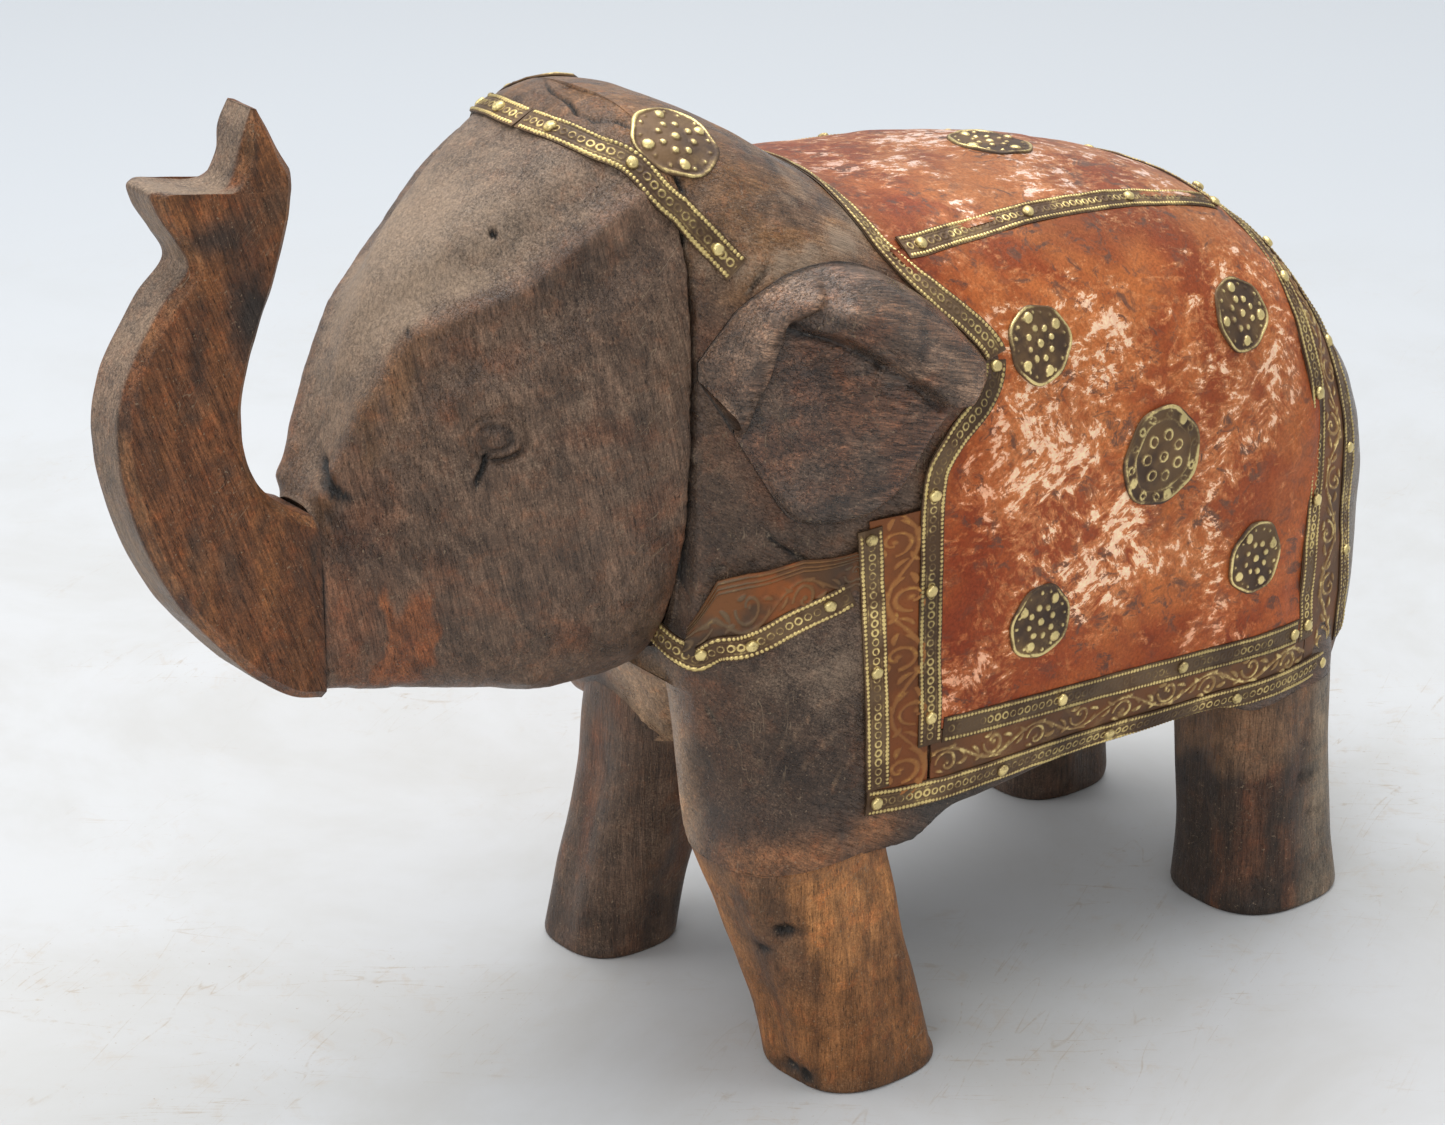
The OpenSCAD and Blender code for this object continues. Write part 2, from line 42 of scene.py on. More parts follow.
# ---------------------------------------------------------------- camera
CAMERA_AT = (-0.5792, -0.7093, 0.5074)
CAMERA_TO = (-0.015, 0.0, 0.119)
camera = bpy.data.objects.new("camera", bpy.data.cameras.new("camera"))
bpy.context.scene.collection.objects.link(camera)
camera.location = CAMERA_AT
camera.rotation_euler = (Vector(CAMERA_TO) - Vector(CAMERA_AT)).to_track_quat("-Z", "Y").to_euler()
camera.data.lens = 99.65
camera.data.sensor_width = 36
bpy.context.scene.camera = camera
bpy.context.scene.view_settings.view_transform = "Standard"

# ---------------------------------------------------------------- the blocks' tables, as in the CAD source
NECK_X = -57.0
TRUNK_X = -138.0
RUMP_X = 184.5
JOINT_Z = 62.0
# how far the trunk's carving may reach
TRUNK_FRONT_X = -184.95
TRUNK_TOP_Z = 260.9

# x, half width, height of the widest point, bottom, top, roundness above, roundness below
BODY = np.array([
    [-57, 42.5, 185, 100, 248, 2.9, 3.6], [-51, 45.5, 180, 80, 247, 2.9, 4],
    [-41, 51, 172, 54, 244, 2.9, 5.5], [-26, 57, 162, 44, 236.5, 2.8, 7.5],
    [-11, 60, 155, 44, 226.5, 2.8, 8], [3, 62, 150, 46, 218, 2.8, 7],
    [25, 63, 148, 50, 215.5, 2.7, 5.5], [50, 63, 146, 52, 213, 2.6, 5],
    [80, 63, 142, 52, 208, 2.5, 5], [100, 62.5, 138, 50, 203, 2.5, 5.5],
    [115, 61.5, 134, 46, 198, 2.5, 7], [125, 60, 130, 44, 193, 2.5, 7.5],
    [136, 57.5, 126, 44, 185, 2.5, 7.5], [150, 53, 120, 46, 171, 2.4, 6],
    [160, 48, 115, 50, 159, 2.4, 4.5], [168, 42, 111, 55, 147, 2.3, 3.4],
    [175, 34, 108, 64, 135, 2.2, 2.8], [181, 23, 105, 78, 121, 2.1, 2.3],
    [184.5, 11, 103, 92, 112, 2, 2],
])
# x, rise of the underside over the left legs, in the middle, over the right legs
LIFT = np.array([
    [-57, 46, 54, 49], [-53, 22, 52, 47], [-49, 4, 48, 44], [-46, 0, 45, 42], [-30, 0, 30, 27],
    [-20, 0, 20, 5], [-10, 0, 13, 0], [-3, 0, 8, 0], [8, 6, 6, 0], [18, 6, 6, 2], [30, 6, 6, 6],
    [100, 6, 6, 6], [112, 1, 6, 1], [118, 0, 7, 0], [135, 0, 12, 0], [158, 0, 14, 0],
    [168, 3, 15, 3], [175, 8, 16, 8], [185, 24, 26, 24],
])
HEAD = np.array([
    [-138, 11, 144, 122, 167, 3.2, 4], [-134, 12, 146, 121, 172, 3, 4],
    [-130, 13.5, 150, 120, 184, 2.8, 3.6], [-126, 15, 154, 118.5, 197, 2.6, 3.4],
    [-118, 19, 158, 117, 211, 2.5, 3.2], [-110, 24, 160, 115, 220, 2.5, 3],
    [-100, 29, 164, 113, 227.5, 2.6, 3], [-90, 34, 170, 111, 233.5, 2.7, 2.8],
    [-80, 38, 177, 109, 239.5, 2.8, 2.6], [-70, 41, 182, 107, 244.5, 2.8, 2.5],
    [-64, 42, 184, 106, 247, 2.8, 2.4], [-57, 42.5, 185, 106, 248, 2.9, 2.3],
])
# x and z on the front edge, x and z on the back edge, half thickness
TRUNK = np.array([
    [-138, 121, -138, 166, 11], [-146, 123.5, -142, 168, 10.7], [-155, 130.5, -146, 171, 10.3],
    [-165, 142, -150, 175, 9.8], [-173, 153, -152, 179, 9.4], [-180, 168, -153.5, 184, 9],
    [-184, 183, -154, 189, 8.7], [-185, 195, -153.5, 196, 8.5], [-182.5, 206, -151.5, 203, 8.3],
    [-178, 214, -149, 210, 8.2], [-172, 222, -145, 218, 8.1], [-165, 229, -142, 225, 8],
    [-168, 236, -140.5, 230, 8], [-172, 243, -139, 235, 8], [-172, 247.5, -138, 240, 7.8],
    [-160, 244.5, -137.5, 242, 7.6], [-154, 245, -137.5, 245, 7.4], [-151, 250, -139, 248, 7.2],
    [-149.5, 256, -142.5, 254, 6.8], [-147, 261, -145.5, 260.5, 5],
])
# z, centre x, centre y, half length, half width
LEGS = {
    "leg_front_left": [[0, -11, -46, 20.5, 19], [18, -14, -44, 20, 19], [40, -20, -41, 21, 19.5],
                       [62, -25, -37, 23, 20.5]],
    "leg_front_right": [[0, -19, 43, 16.5, 16], [18, -16, 42, 16.5, 16], [40, -10, 40, 17.5, 17],
                        [62, -4, 38, 19.5, 19]],
    "leg_rear_left": [[0, 135, -43, 21.5, 20], [18, 134, -42, 19.5, 19], [40, 133, -41, 19.5, 19],
                      [62, 134, -39, 20, 18.5]],
    "leg_rear_right": [[0, 134, 41, 18, 16.5], [18, 133, 41, 18, 17], [40, 132, 40, 19.5, 19],
                       [62, 132, 39, 20.5, 18.5]],
}
# x, lower edge, upper edge, distance of the face from the middle plane
EAR = np.array([
    [-57, 190, 193, 46], [-52, 181, 200, 49], [-47, 171, 206, 52], [-38, 154.5, 211, 57],
    [-30, 151.5, 212.5, 60.5], [-22, 152, 212, 63], [-14, 156, 209.5, 65], [-6, 164, 205, 66.5],
    [2, 171.5, 198.5, 67.5], [8, 177, 190.5, 68], [12, 181, 185, 68],
])
# section angle, x of the saddle's front strip, of its inner rear strip, of its outer rear strip
STRIP_LINES = np.array([
    [-70, -0.5, 132, 150], [-42, -0.5, 132.5, 152], [-30, -1, 132, 152.5], [-15, -1, 133, 152],
    [6, -0.5, 133.5, 150.5], [14.5, 5, 133, 149.5], [22, 15, 132, 148], [29, 19.5, 130.5, 146.5],
    [34, 17, 130, 145.5], [43, 7, 129.5, 143.5], [51, 0, 128.5, 142], [62, -4, 125, 138.5],
    [90, -2, 121, 134],
])
FOREHEAD_LINE = np.array([
    [33, -38], [37, -43], [45, -52.5], [52.5, -59.4], [62.7, -64], [70.5, -69], [82, -72], [90, -72.5],
])
# x, section angle of the collar's strip, of the upper edge of its band
COLLAR = np.array([
    [-57, -61, -50], [-52, -54, -40], [-46, -48.2, -32], [-34, -35.6, -17], [-21.5, -24.5, -12],
])
CORNER_ANGLE = 29.5
EAR_HIDES_Z = 150.0
STRIP_W = 6.6
STRIP_LIFT = 0.55
STRIP_STEP = 0.27
STRIP_SWEEP = np.linspace(-STRIP_W / 2, STRIP_W / 2, 29)
BEAD_PITCH, BEAD_RADIUS, BEAD_HEIGHT = 1.08, 0.56, 0.42
RING_PITCH, RING_RADIUS, RING_HEIGHT = 2.45, 0.82, 0.34
COPPER_LAYER = (0.05, 0.3)
BORDER_LAYER = (0.02, 0.25)
LEG_ROUNDNESS = 2.6
HIDDEN_SHADE = 0.5
FRONT_BORDER_WIDTH = 17.0


# ---------------------------------------------------------------- the same curves as the CAD source
def smooth(table, x, c):
    """Column c of a table at x, on a Hermite curve through its rows."""
    xs = table[:, 0]
    v = table[:, c]
    lo = np.maximum(np.arange(len(xs)) - 1, 0)
    hi = np.minimum(np.arange(len(xs)) + 1, len(xs) - 1)
    slope = (v[hi] - v[lo]) / (xs[hi] - xs[lo])
    x = np.asarray(x, float)
    i = np.clip(np.searchsorted(xs, x, side="right") - 1, 0, len(xs) - 2)
    h = xs[i + 1] - xs[i]
    u = np.clip((x - xs[i]) / h, 0, 1)
    return (v[i] * (2 * u**3 - 3 * u**2 + 1) + slope[i] * h * (u**3 - 2 * u**2 + u)
            + v[i + 1] * (3 * u**2 - 2 * u**3) + slope[i + 1] * h * (u**3 - u**2))


def skin(table, x, a):
    """The point of a block's skin at x and section angle a, in degrees."""
    x, a = np.broadcast_arrays(np.asarray(x, float), np.asarray(a, float))
    s, c = np.sin(np.radians(a)), np.cos(np.radians(a))
    zm = smooth(table, x, 2)
    above = s >= 0
    h = np.where(above, smooth(table, x, 4) - zm, zm - smooth(table, x, 3))
    n = np.where(above, smooth(table, x, 5), smooth(table, x, 6))
    r = ((np.abs(c) / smooth(table, x, 1)) ** n + (np.abs(s) / h) ** n) ** (-1 / n)
    return np.stack([x, r * c, zm + r * s], -1)


def underside(x, y):
    t = np.clip(y / 16, -1, 1)
    side = np.where(t < 0, smooth(LIFT, x, 1), smooth(LIFT, x, 3))
    mid = smooth(LIFT, x, 2)
    return JOINT_Z + np.maximum(0, mid + (side - mid) * t * t)


def angle_at_z(table, x, z):
    zm = smooth(table, x, 2)
    above = z >= zm
    h = np.where(above, smooth(table, x, 4) - zm, zm - smooth(table, x, 3))
    n = np.where(above, smooth(table, x, 5), smooth(table, x, 6))
    q = np.minimum(1, np.abs(z - zm) / h)
    return np.degrees(np.arctan2(z - zm, smooth(table, x, 1) * (1 - q**n) ** (1 / n)))


def angle_at_y(table, x, y):
    zm = smooth(table, x, 2)
    n = smooth(table, x, 5)
    q = np.minimum(1, np.abs(y) / smooth(table, x, 1))
    return np.degrees(np.arctan2((smooth(table, x, 4) - zm) * (1 - q**n) ** (1 / n), y))


# ---------------------------------------------------------------- noise, bumps and painting by numbers
def lattice(i, j, k, seed):
    h = (i * 73856093) ^ (j * 19349663) ^ (k * 83492791) ^ (seed * 2654435761)
    h = h & 0xFFFFFFFF
    h = ((h ^ (h >> 13)) * 1274126177) & 0xFFFFFFFF
    return (h ^ (h >> 16)) / 2147483648.0 - 1.0


def noise(p, size, seed=0):
    """Smooth noise from -1 to 1 at points p, with lumps about size across (one number or three)."""
    q = np.asarray(p, float) / np.asarray(size, float)
    f = np.floor(q)
    i = f.astype(np.int64)
    f = q - f
    f = f * f * (3 - 2 * f)
    out = 0
    for dx in (0, 1):
        for dy in (0, 1):
            for dz in (0, 1):
                w = ((f[..., 0] if dx else 1 - f[..., 0]) * (f[..., 1] if dy else 1 - f[..., 1])
                     * (f[..., 2] if dz else 1 - f[..., 2]))
                out = out + w * lattice(i[..., 0] + dx, i[..., 1] + dy, i[..., 2] + dz, seed)
    return out


def fractal(p, size, seed=0, octaves=4, rough=0.5):
    out, amp, total = 0, 1.0, 0
    size = np.asarray(size, float)
    for o in range(octaves):
        out = out + amp * noise(p, size / 2**o, seed + 17 * o)
        total += amp
        amp *= rough
    return out / total


def step(x, a, b):
    t = np.clip((x - a) / (b - a), 0, 1)
    return t * t * (3 - 2 * t)


def axes(p):
    return p[..., 0], p[..., 1], p[..., 2]


def near(p, centre, radius):
    """1 at a point, falling smoothly to 0 about two radii away."""
    d = (p - np.array(centre, float)) / np.array(radius, float)
    return np.exp(-(d**2).sum(-1))


def line_distance(p, points, wobble=0.0, seed=0):
    """Distance from points p to a polyline, and how far along it from 0 to 1."""
    points = np.array(points, float)
    if wobble:
        p = p + wobble * np.stack([noise(p, 4.0, seed + k) for k in range(3)], -1)
    best = np.full(p.shape[:-1], 1e9)
    along = np.zeros(p.shape[:-1])
    for k in range(len(points) - 1):
        a, b = points[k], points[k + 1]
        ab = b - a
        t = np.clip(((p - a) @ ab) / (ab @ ab), 0, 1)
        d = np.linalg.norm(p - a - t[..., None] * ab, axis=-1)
        closer = d < best
        best = np.where(closer, d, best)
        along = np.where(closer, (k + t) / (len(points) - 1), along)
    return best, along


def bell(d, width):
    return np.exp(-((d / width) ** 2))


def blend_colour(a, b, t):
    return a + (np.asarray(b, float) - a) * t[..., None]


def coats(c, *layers):
    """Paint c under layers of (colour, how much of it from 0 to 1)."""
    for colour, amount in layers:
        c = blend_colour(c, colour, amount)
    return c


# ---------------------------------------------------------------- meshes from grids of points, in millimetres
def grid_faces(nu, nv, around, flip):
    i, j = np.meshgrid(np.arange(nu - 1), np.arange(nv if around else nv - 1), indexing="ij")
    k = (j + 1) % nv
    quads = np.stack([i * nv + j, (i + 1) * nv + j, (i + 1) * nv + k, i * nv + k], -1).reshape(-1, 4)
    return quads[:, ::-1] if flip else quads


def make_mesh(name, points, quads, tris, paint, relief=None):
    mesh = bpy.data.meshes.new(name)
    faces = list(map(tuple, np.asarray(quads).tolist())) + [tuple(t) for t in tris]
    mesh.from_pydata((np.asarray(points) * MM).tolist(), [], faces)
    mesh.polygons.foreach_set("use_smooth", np.ones(len(mesh.polygons), bool))
    if paint.shape[1] == 3:
        paint = np.concatenate([paint, np.zeros((len(paint), 1))], 1)
    layer = mesh.color_attributes.new("paint", "FLOAT_COLOR", "POINT")
    layer.data.foreach_set("color", paint.astype(np.float32).ravel())
    if relief is not None:
        layer = mesh.attributes.new("relief", "FLOAT", "POINT")
        layer.data.foreach_set("value", np.asarray(relief, np.float32))
    mesh.update()
    obj = bpy.data.objects.new(name, mesh)
    bpy.context.scene.collection.objects.link(obj)
    return obj


def finish_piece(obj, node_names, material):
    obj.data.materials.append(material)
    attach(obj, "root")
    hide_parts(*node_names)


def surface_normals(points):
    """Outward normals of a closed ring of points by rows of points."""
    du = np.gradient(points, axis=0)
    dv = (np.roll(points, -1, 1) - np.roll(points, 1, 1)) / 2
    n = np.cross(dv, du)
    return n / np.maximum(np.linalg.norm(n, axis=-1, keepdims=True), 1e-9)


def tube(name, rows, paint):
    """A closed solid from rows of points round it, each row a ring."""
    nu, nv = rows.shape[:2]
    points = rows.reshape(-1, 3)
    colours = paint.reshape(-1, paint.shape[-1])
    quads = grid_faces(nu, nv, True, True)
    tris = []
    for first in (True, False):
        ring = 0 if first else (nu - 1) * nv
        centre = len(points)
        points = np.vstack([points, rows[0 if first else -1].mean(0)])
        colours = np.vstack([colours, colours[ring:ring + nv].mean(0)])
        for j in range(nv):
            k = (j + 1) % nv
            tris.append((centre, ring + j, ring + k) if first else (centre, ring + k, ring + j))
    return make_mesh(name, points, quads, tris, colours)


# ---------------------------------------------------------------- materials
class Nodes:
    """Short calls for making shader nodes."""

    def __init__(self, name):
        self.m = bpy.data.materials.new(name)
        self.m.use_nodes = True
        self.nodes, self.links = self.m.node_tree.nodes, self.m.node_tree.links
        self.nodes.clear()
        self.out = self.nodes.new("ShaderNodeOutputMaterial")
        self.bsdf = self.nodes.new("ShaderNodeBsdfPrincipled")
        self.links.new(self.bsdf.outputs[0], self.out.inputs[0])
        self.coords = self.nodes.new("ShaderNodeTexCoord").outputs["Object"]

    def put(self, value, socket):
        if hasattr(value, "links"):
            self.links.new(value, socket)
        else:
            socket.default_value = value

    def mapping(self, scale=(1, 1, 1), turn=(0, 0, 0)):
        """Object coordinates turned first and then scaled, so the local X axis can point along the grain."""
        n = self.nodes.new("ShaderNodeMapping")
        n.vector_type = "TEXTURE"
        self.links.new(self.coords, n.inputs["Vector"])
        n.inputs["Scale"].default_value = [1 / k for k in scale]
        n.inputs["Rotation"].default_value = turn
        return n.outputs[0]

    def noise(self, vector, scale, detail=4, rough=0.55, distort=0.0):
        n = self.nodes.new("ShaderNodeTexNoise")
        self.links.new(vector, n.inputs["Vector"])
        n.inputs["Scale"].default_value = scale
        n.inputs["Detail"].default_value = detail
        n.inputs["Roughness"].default_value = rough
        n.inputs["Distortion"].default_value = distort
        return n.outputs["Fac"]

    def ramp(self, value, low, high, a=0.0, b=1.0):
        n = self.nodes.new("ShaderNodeMapRange")
        n.interpolation_type = "SMOOTHSTEP"
        self.put(value, n.inputs["Value"])
        n.inputs["From Min"].default_value = low
        n.inputs["From Max"].default_value = high
        n.inputs["To Min"].default_value = a
        n.inputs["To Max"].default_value = b
        return n.outputs["Result"]

    def math(self, kind, a, b=0.0):
        n = self.nodes.new("ShaderNodeMath")
        n.operation = kind
        self.put(a, n.inputs[0])
        self.put(b, n.inputs[1])
        return n.outputs[0]

    def times(self, a, b):
        return self.math("MULTIPLY", a, b)

    def plus(self, a, b):
        return self.math("ADD", a, b)

    def minus(self, a, b):
        return self.math("SUBTRACT", a, b)

    def hairline(self, value, width):
        """1 on the thin curve where a noise crosses its middle value."""
        return self.ramp(self.math("ABSOLUTE", self.minus(value, 0.5)), 0.0, width, 1.0, 0.0)

    def mix(self, factor, a, b, kind="MIX"):
        n = self.nodes.new("ShaderNodeMix")
        n.data_type = "RGBA"
        n.blend_type = kind
        self.put(factor, n.inputs[0])
        for value, socket in ((a, n.inputs[6]), (b, n.inputs[7])):
            self.put(value if hasattr(value, "links") else (*value, 1), socket)
        return n.outputs[2]

    def grey(self, value):
        n = self.nodes.new("ShaderNodeCombineColor")
        for k in range(3):
            self.links.new(value, n.inputs[k])
        return n.outputs[0]

    def attribute(self, name, kind="Color"):
        n = self.nodes.new("ShaderNodeAttribute")
        n.attribute_name = name
        return n.outputs[kind]

    def bump(self, height, strength, distance):
        n = self.nodes.new("ShaderNodeBump")
        n.inputs["Strength"].default_value = strength
        n.inputs["Distance"].default_value = distance
        self.links.new(height, n.inputs["Height"])
        self.links.new(n.outputs[0], self.bsdf.inputs["Normal"])

    def set(self, **values):
        for key, value in values.items():
            self.put(value, self.bsdf.inputs[key.replace("_", " ")])
        return self.m


def wood_material(name, turn, gloss=0.4, contrast=1.0, lines=0.5, sheen=0.34):
    """Old oiled wood: painted tone, grain, pores, hairline scratches, and dust where the paint asks."""
    s = Nodes(name)
    plain = s.mapping()
    fibres = s.noise(s.mapping((70, 1350, 1350), turn), 1.0, 4, 0.7, 0.2)
    pores = s.noise(s.mapping((420, 3000, 3000), turn), 1.0, 2, 0.6)
    figure = s.noise(s.mapping((14, 150, 150), turn), 1.0, 5, 0.62, 0.35)
    fine = s.noise(plain, 2100, 3, 0.75)
    mottle = s.noise(plain, 120, 6, 0.7, 0.5)
    across = (turn[0], turn[1] + 1.1, turn[2])
    scratch = s.hairline(s.noise(s.mapping((45, 420, 420), across), 1.0, 2, 0.5, 0.7), 0.009)
    scratch = s.times(scratch, s.ramp(s.noise(plain, 55, 2, 0.5), 0.48, 0.6))
    pale_line = s.hairline(s.noise(s.mapping((42, 520, 520), turn), 1.0, 3, 0.6, 0.3), 0.03)
    dark_line = s.hairline(s.noise(s.mapping((55, 700, 700), turn), 1.0, 3, 0.6, 0.3), 0.028)
    tone = s.ramp(fibres, 0.28, 0.72, 1 - 0.5 * contrast, 1 + 0.55 * contrast)
    tone = s.times(tone, s.ramp(figure, 0.3, 0.7, 1 - 0.3 * contrast, 1 + 0.32 * contrast))
    tone = s.times(tone, s.ramp(mottle, 0.3, 0.7, 0.66, 1.34))
    tone = s.times(tone, s.ramp(pores, 0.26, 0.42, 0.3, 1.0))
    tone = s.times(tone, s.ramp(fine, 0.3, 0.72, 0.7, 1.38))
    tone = s.times(tone, s.ramp(dark_line, 0.0, 1.0, 1.0, 1 - 0.62 * lines))
    tone = s.times(tone, s.ramp(pale_line, 0.0, 1.0, 1.0, 1 + 0.8 * lines))
    colour = s.mix(1.0, s.attribute("paint"), s.grey(tone), "MULTIPLY")
    warm = s.ramp(s.noise(plain, 210, 4, 0.7), 0.5, 0.68)
    colour = s.mix(s.times(warm, 0.4), colour, s.mix(1.0, colour, (1.5, 1.05, 0.75), "MULTIPLY"))
    wanted = s.attribute("paint", "Alpha")
    settle = s.plus(s.times(fine, 0.65), s.times(mottle, 0.35))
    dust = s.ramp(s.plus(settle, s.times(wanted, 0.4)), 0.56, 0.92)
    dust_colour = s.mix(1.0, (0.31, 0.222, 0.152), s.grey(s.ramp(fibres, 0.28, 0.72, 0.7, 1.25)), "MULTIPLY")
    colour = s.mix(s.times(dust, 0.85), colour, dust_colour)
    speck = s.times(s.ramp(s.noise(plain, 1300, 2, 0.5), 0.68, 0.72), 0.6)
    colour = s.mix(s.math("MAXIMUM", speck, s.times(scratch, 0.55)), colour, (0.3, 0.21, 0.13))
    rough = s.plus(s.ramp(mottle, 0.3, 0.7, gloss - 0.12, gloss + 0.14), s.times(dust, 0.22))
    height = s.plus(s.times(fibres, 0.8), s.times(s.ramp(pores, 0.24, 0.42), 0.35))
    height = s.plus(height, s.times(mottle, 0.8))
    height = s.minus(height, s.times(s.math("MAXIMUM", scratch, dark_line), 0.3))
    s.bump(height, 0.7, 0.0006)
    return s.set(Base_Color=colour, Roughness=rough, Specular_IOR_Level=sheen)


def copper_material():
    s = Nodes("aged_copper")
    plain = s.mapping()
    broad = s.noise(plain, 28, 4, 0.6, 0.6)
    zone = s.noise(plain, 19, 3, 0.6, 0.4)
    strokes_a = s.noise(s.mapping((165, 300, 300), (0, 1.0, 0)), 1.0, 5, 0.74, 0.35)
    strokes_b = s.noise(s.mapping((165, 300, 300), (0, -0.35, 0)), 1.0, 5, 0.74, 0.35)
    strokes_c = s.noise(s.mapping((190, 360, 360), (0, 0.15, 0)), 1.0, 5, 0.74, 0.35)
    brush_a = s.noise(s.mapping((120, 1700, 1700), (0, 1.25, 0)), 1.0, 3, 0.7, 0.3)
    brush_b = s.noise(s.mapping((120, 1700, 1700), (0, -0.55, 0)), 1.0, 3, 0.7, 0.3)
    pick_a = s.ramp(s.noise(plain, 48, 2, 0.5), 0.44, 0.56)
    pick_b = s.ramp(s.noise(s.mapping((1, 1, 1), (0, 1.0, 0)), 37, 2, 0.5), 0.46, 0.56)
    strokes = s.plus(s.times(strokes_a, pick_a), s.times(strokes_b, s.minus(1.0, pick_a)))
    strokes = s.plus(s.times(strokes, s.minus(1.0, pick_b)), s.times(strokes_c, pick_b))
    brush = s.plus(s.times(brush_a, pick_a), s.times(brush_b, s.minus(1.0, pick_a)))
    bright = s.plus(s.times(strokes, 0.9), s.times(brush, 0.13))
    bright = s.plus(bright, s.ramp(zone, 0.36, 0.62, -0.075, 0.045))
    bright = s.plus(bright, s.times(s.minus(s.attribute("relief", "Fac"), 0.5), 0.16))
    worn = s.ramp(bright, 0.575, 0.625)
    warm = s.ramp(bright, 0.46, 0.58)
    base = s.mix(s.ramp(broad, 0.38, 0.62), (0.27, 0.055, 0.016), (0.44, 0.13, 0.035))
    base = s.mix(s.times(warm, 0.75), base, (0.58, 0.22, 0.08))
    base = s.mix(worn, base, (0.97, 0.57, 0.37))
    dark = s.noise(s.mapping((150, 210, 210), (0, 0.4, 0)), 1.0, 6, 0.75, 0.7)
    smudge = s.times(s.ramp(dark, 0.51, 0.62), s.minus(1.0, s.times(worn, 0.75)))
    smudge = s.times(smudge, s.ramp(s.noise(plain, 42, 2, 0.5), 0.4, 0.56, 0.4, 0.95))
    base = s.mix(smudge, base, (0.12, 0.045, 0.022))
    fine = s.noise(plain, 1100, 3, 0.7)
    base = s.mix(1.0, base, s.grey(s.ramp(fine, 0.3, 0.7, 0.8, 1.2)), "MULTIPLY")
    base = s.mix(1.0, base, s.attribute("paint"), "MULTIPLY")
    rough = s.plus(s.times(worn, -0.1), s.ramp(brush, 0.3, 0.7, 0.42, 0.55))
    metal = s.minus(0.6, s.times(smudge, 0.4))
    s.bump(s.plus(s.times(brush, 0.6), s.times(broad, 2.0)), 0.35, 0.0004)
    return s.set(Base_Color=base, Roughness=rough, Metallic=metal)


def brass_material(name, recess, middle, peak, low, high, tint, gold=1.0):
    """Brass that is dark in its hollows and bright on its raised work, after the attribute relief."""
    s = Nodes(name)
    plain = s.mapping()
    wear = s.noise(plain, 110, 4, 0.65, 0.5)
    broken = s.noise(plain, 420, 3, 0.65)
    grain = s.noise(plain, 1500, 3, 0.7)
    raised = s.attribute("relief", "Fac")
    raised = s.plus(raised, s.ramp(wear, 0.32, 0.68, -0.28, 0.24))
    raised = s.plus(raised, s.ramp(grain, 0.3, 0.7, -0.12, 0.12))
    recess = s.mix(s.ramp(s.noise(plain, 70, 3, 0.6), 0.42, 0.6), recess, tint)
    base = s.mix(s.ramp(raised, low - 0.3, low + 0.1), recess, middle)
    shine = s.ramp(raised, low, high)
    shine = s.times(shine, s.ramp(broken, 0.62 - 0.34 * gold, 0.74 - 0.3 * gold, 0.12, 1.0))
    base = s.mix(shine, base, peak)
    base = s.mix(1.0, base, s.attribute("paint"), "MULTIPLY")
    base = s.mix(s.ramp(grain, 0.56, 0.68, 0.0, 0.35), base, s.mix(1.0, base, (0.5, 0.45, 0.4), "MULTIPLY"))
    s.bump(s.plus(grain, s.times(wear, 2.0)), 0.25, 0.0003)
    return s.set(Base_Color=base, Roughness=s.ramp(shine, 0.0, 1.0, 0.52, 0.34),
                 Metallic=s.ramp(shine, 0.0, 1.0, 0.3, 0.8))


QUARTER = math.pi / 2
wood_body = wood_material("dark_wood_body", (0, 0.5, 0), 0.34, 0.6, 0.3, 0.42)
wood_head = wood_material("dark_wood_head", (0, 1.35, 0), 0.36, 0.65, 0.25, 0.42)
wood_ear = wood_material("dark_wood_ear", (0, 0.3, 0), 0.3, 0.9, 0.9, 0.6)
wood_trunk = wood_material("worn_wood_trunk", (0, 1.25, 0), 0.42, 0.75, 0.35)
wood_leg = wood_material("dark_wood_leg", (0, QUARTER, 0), 0.38, 0.55, 0.25, 0.4)
wood_raw = wood_material("raw_wood_leg", (0, QUARTER, 0), 0.46, 0.4, 0.2)
copper = copper_material()
brass = brass_material(
    "strip_brass", (0.095, 0.046, 0.017), (0.21, 0.125, 0.048), (0.84, 0.64, 0.26), 0.34, 0.72,
    (0.15, 0.088, 0.042))
border = brass_material(
    "border_brass", (0.115, 0.05, 0.018), (0.27, 0.145, 0.05), (0.8, 0.6, 0.25), 0.36, 0.74,
    (0.17, 0.06, 0.016), 0.45)
front_border_brass = brass_material(
    "front_border_brass", (0.15, 0.055, 0.014), (0.26, 0.12, 0.035), (0.42, 0.26, 0.09), 0.45, 0.9,
    (0.2, 0.066, 0.014), 0.25)
collar_brass = brass_material(
    "collar_brass", (0.07, 0.04, 0.022), (0.13, 0.078, 0.04), (0.26, 0.17, 0.08), 0.5, 0.95,
    (0.17, 0.062, 0.017), 0.2)
medal = brass_material(
    "rosette_brass", (0.15, 0.082, 0.033), (0.25, 0.16, 0.066), (0.86, 0.68, 0.3), 0.4, 0.76,
    (0.065, 0.034, 0.018))

# ---------------------------------------------------------------- body and head, carved
DARK = np.array([0.086, 0.05, 0.031])
RED = np.array([0.13, 0.05, 0.022])
BLACK = np.array([0.014, 0.011, 0.009])
HONEY = np.array([0.22, 0.1, 0.034])

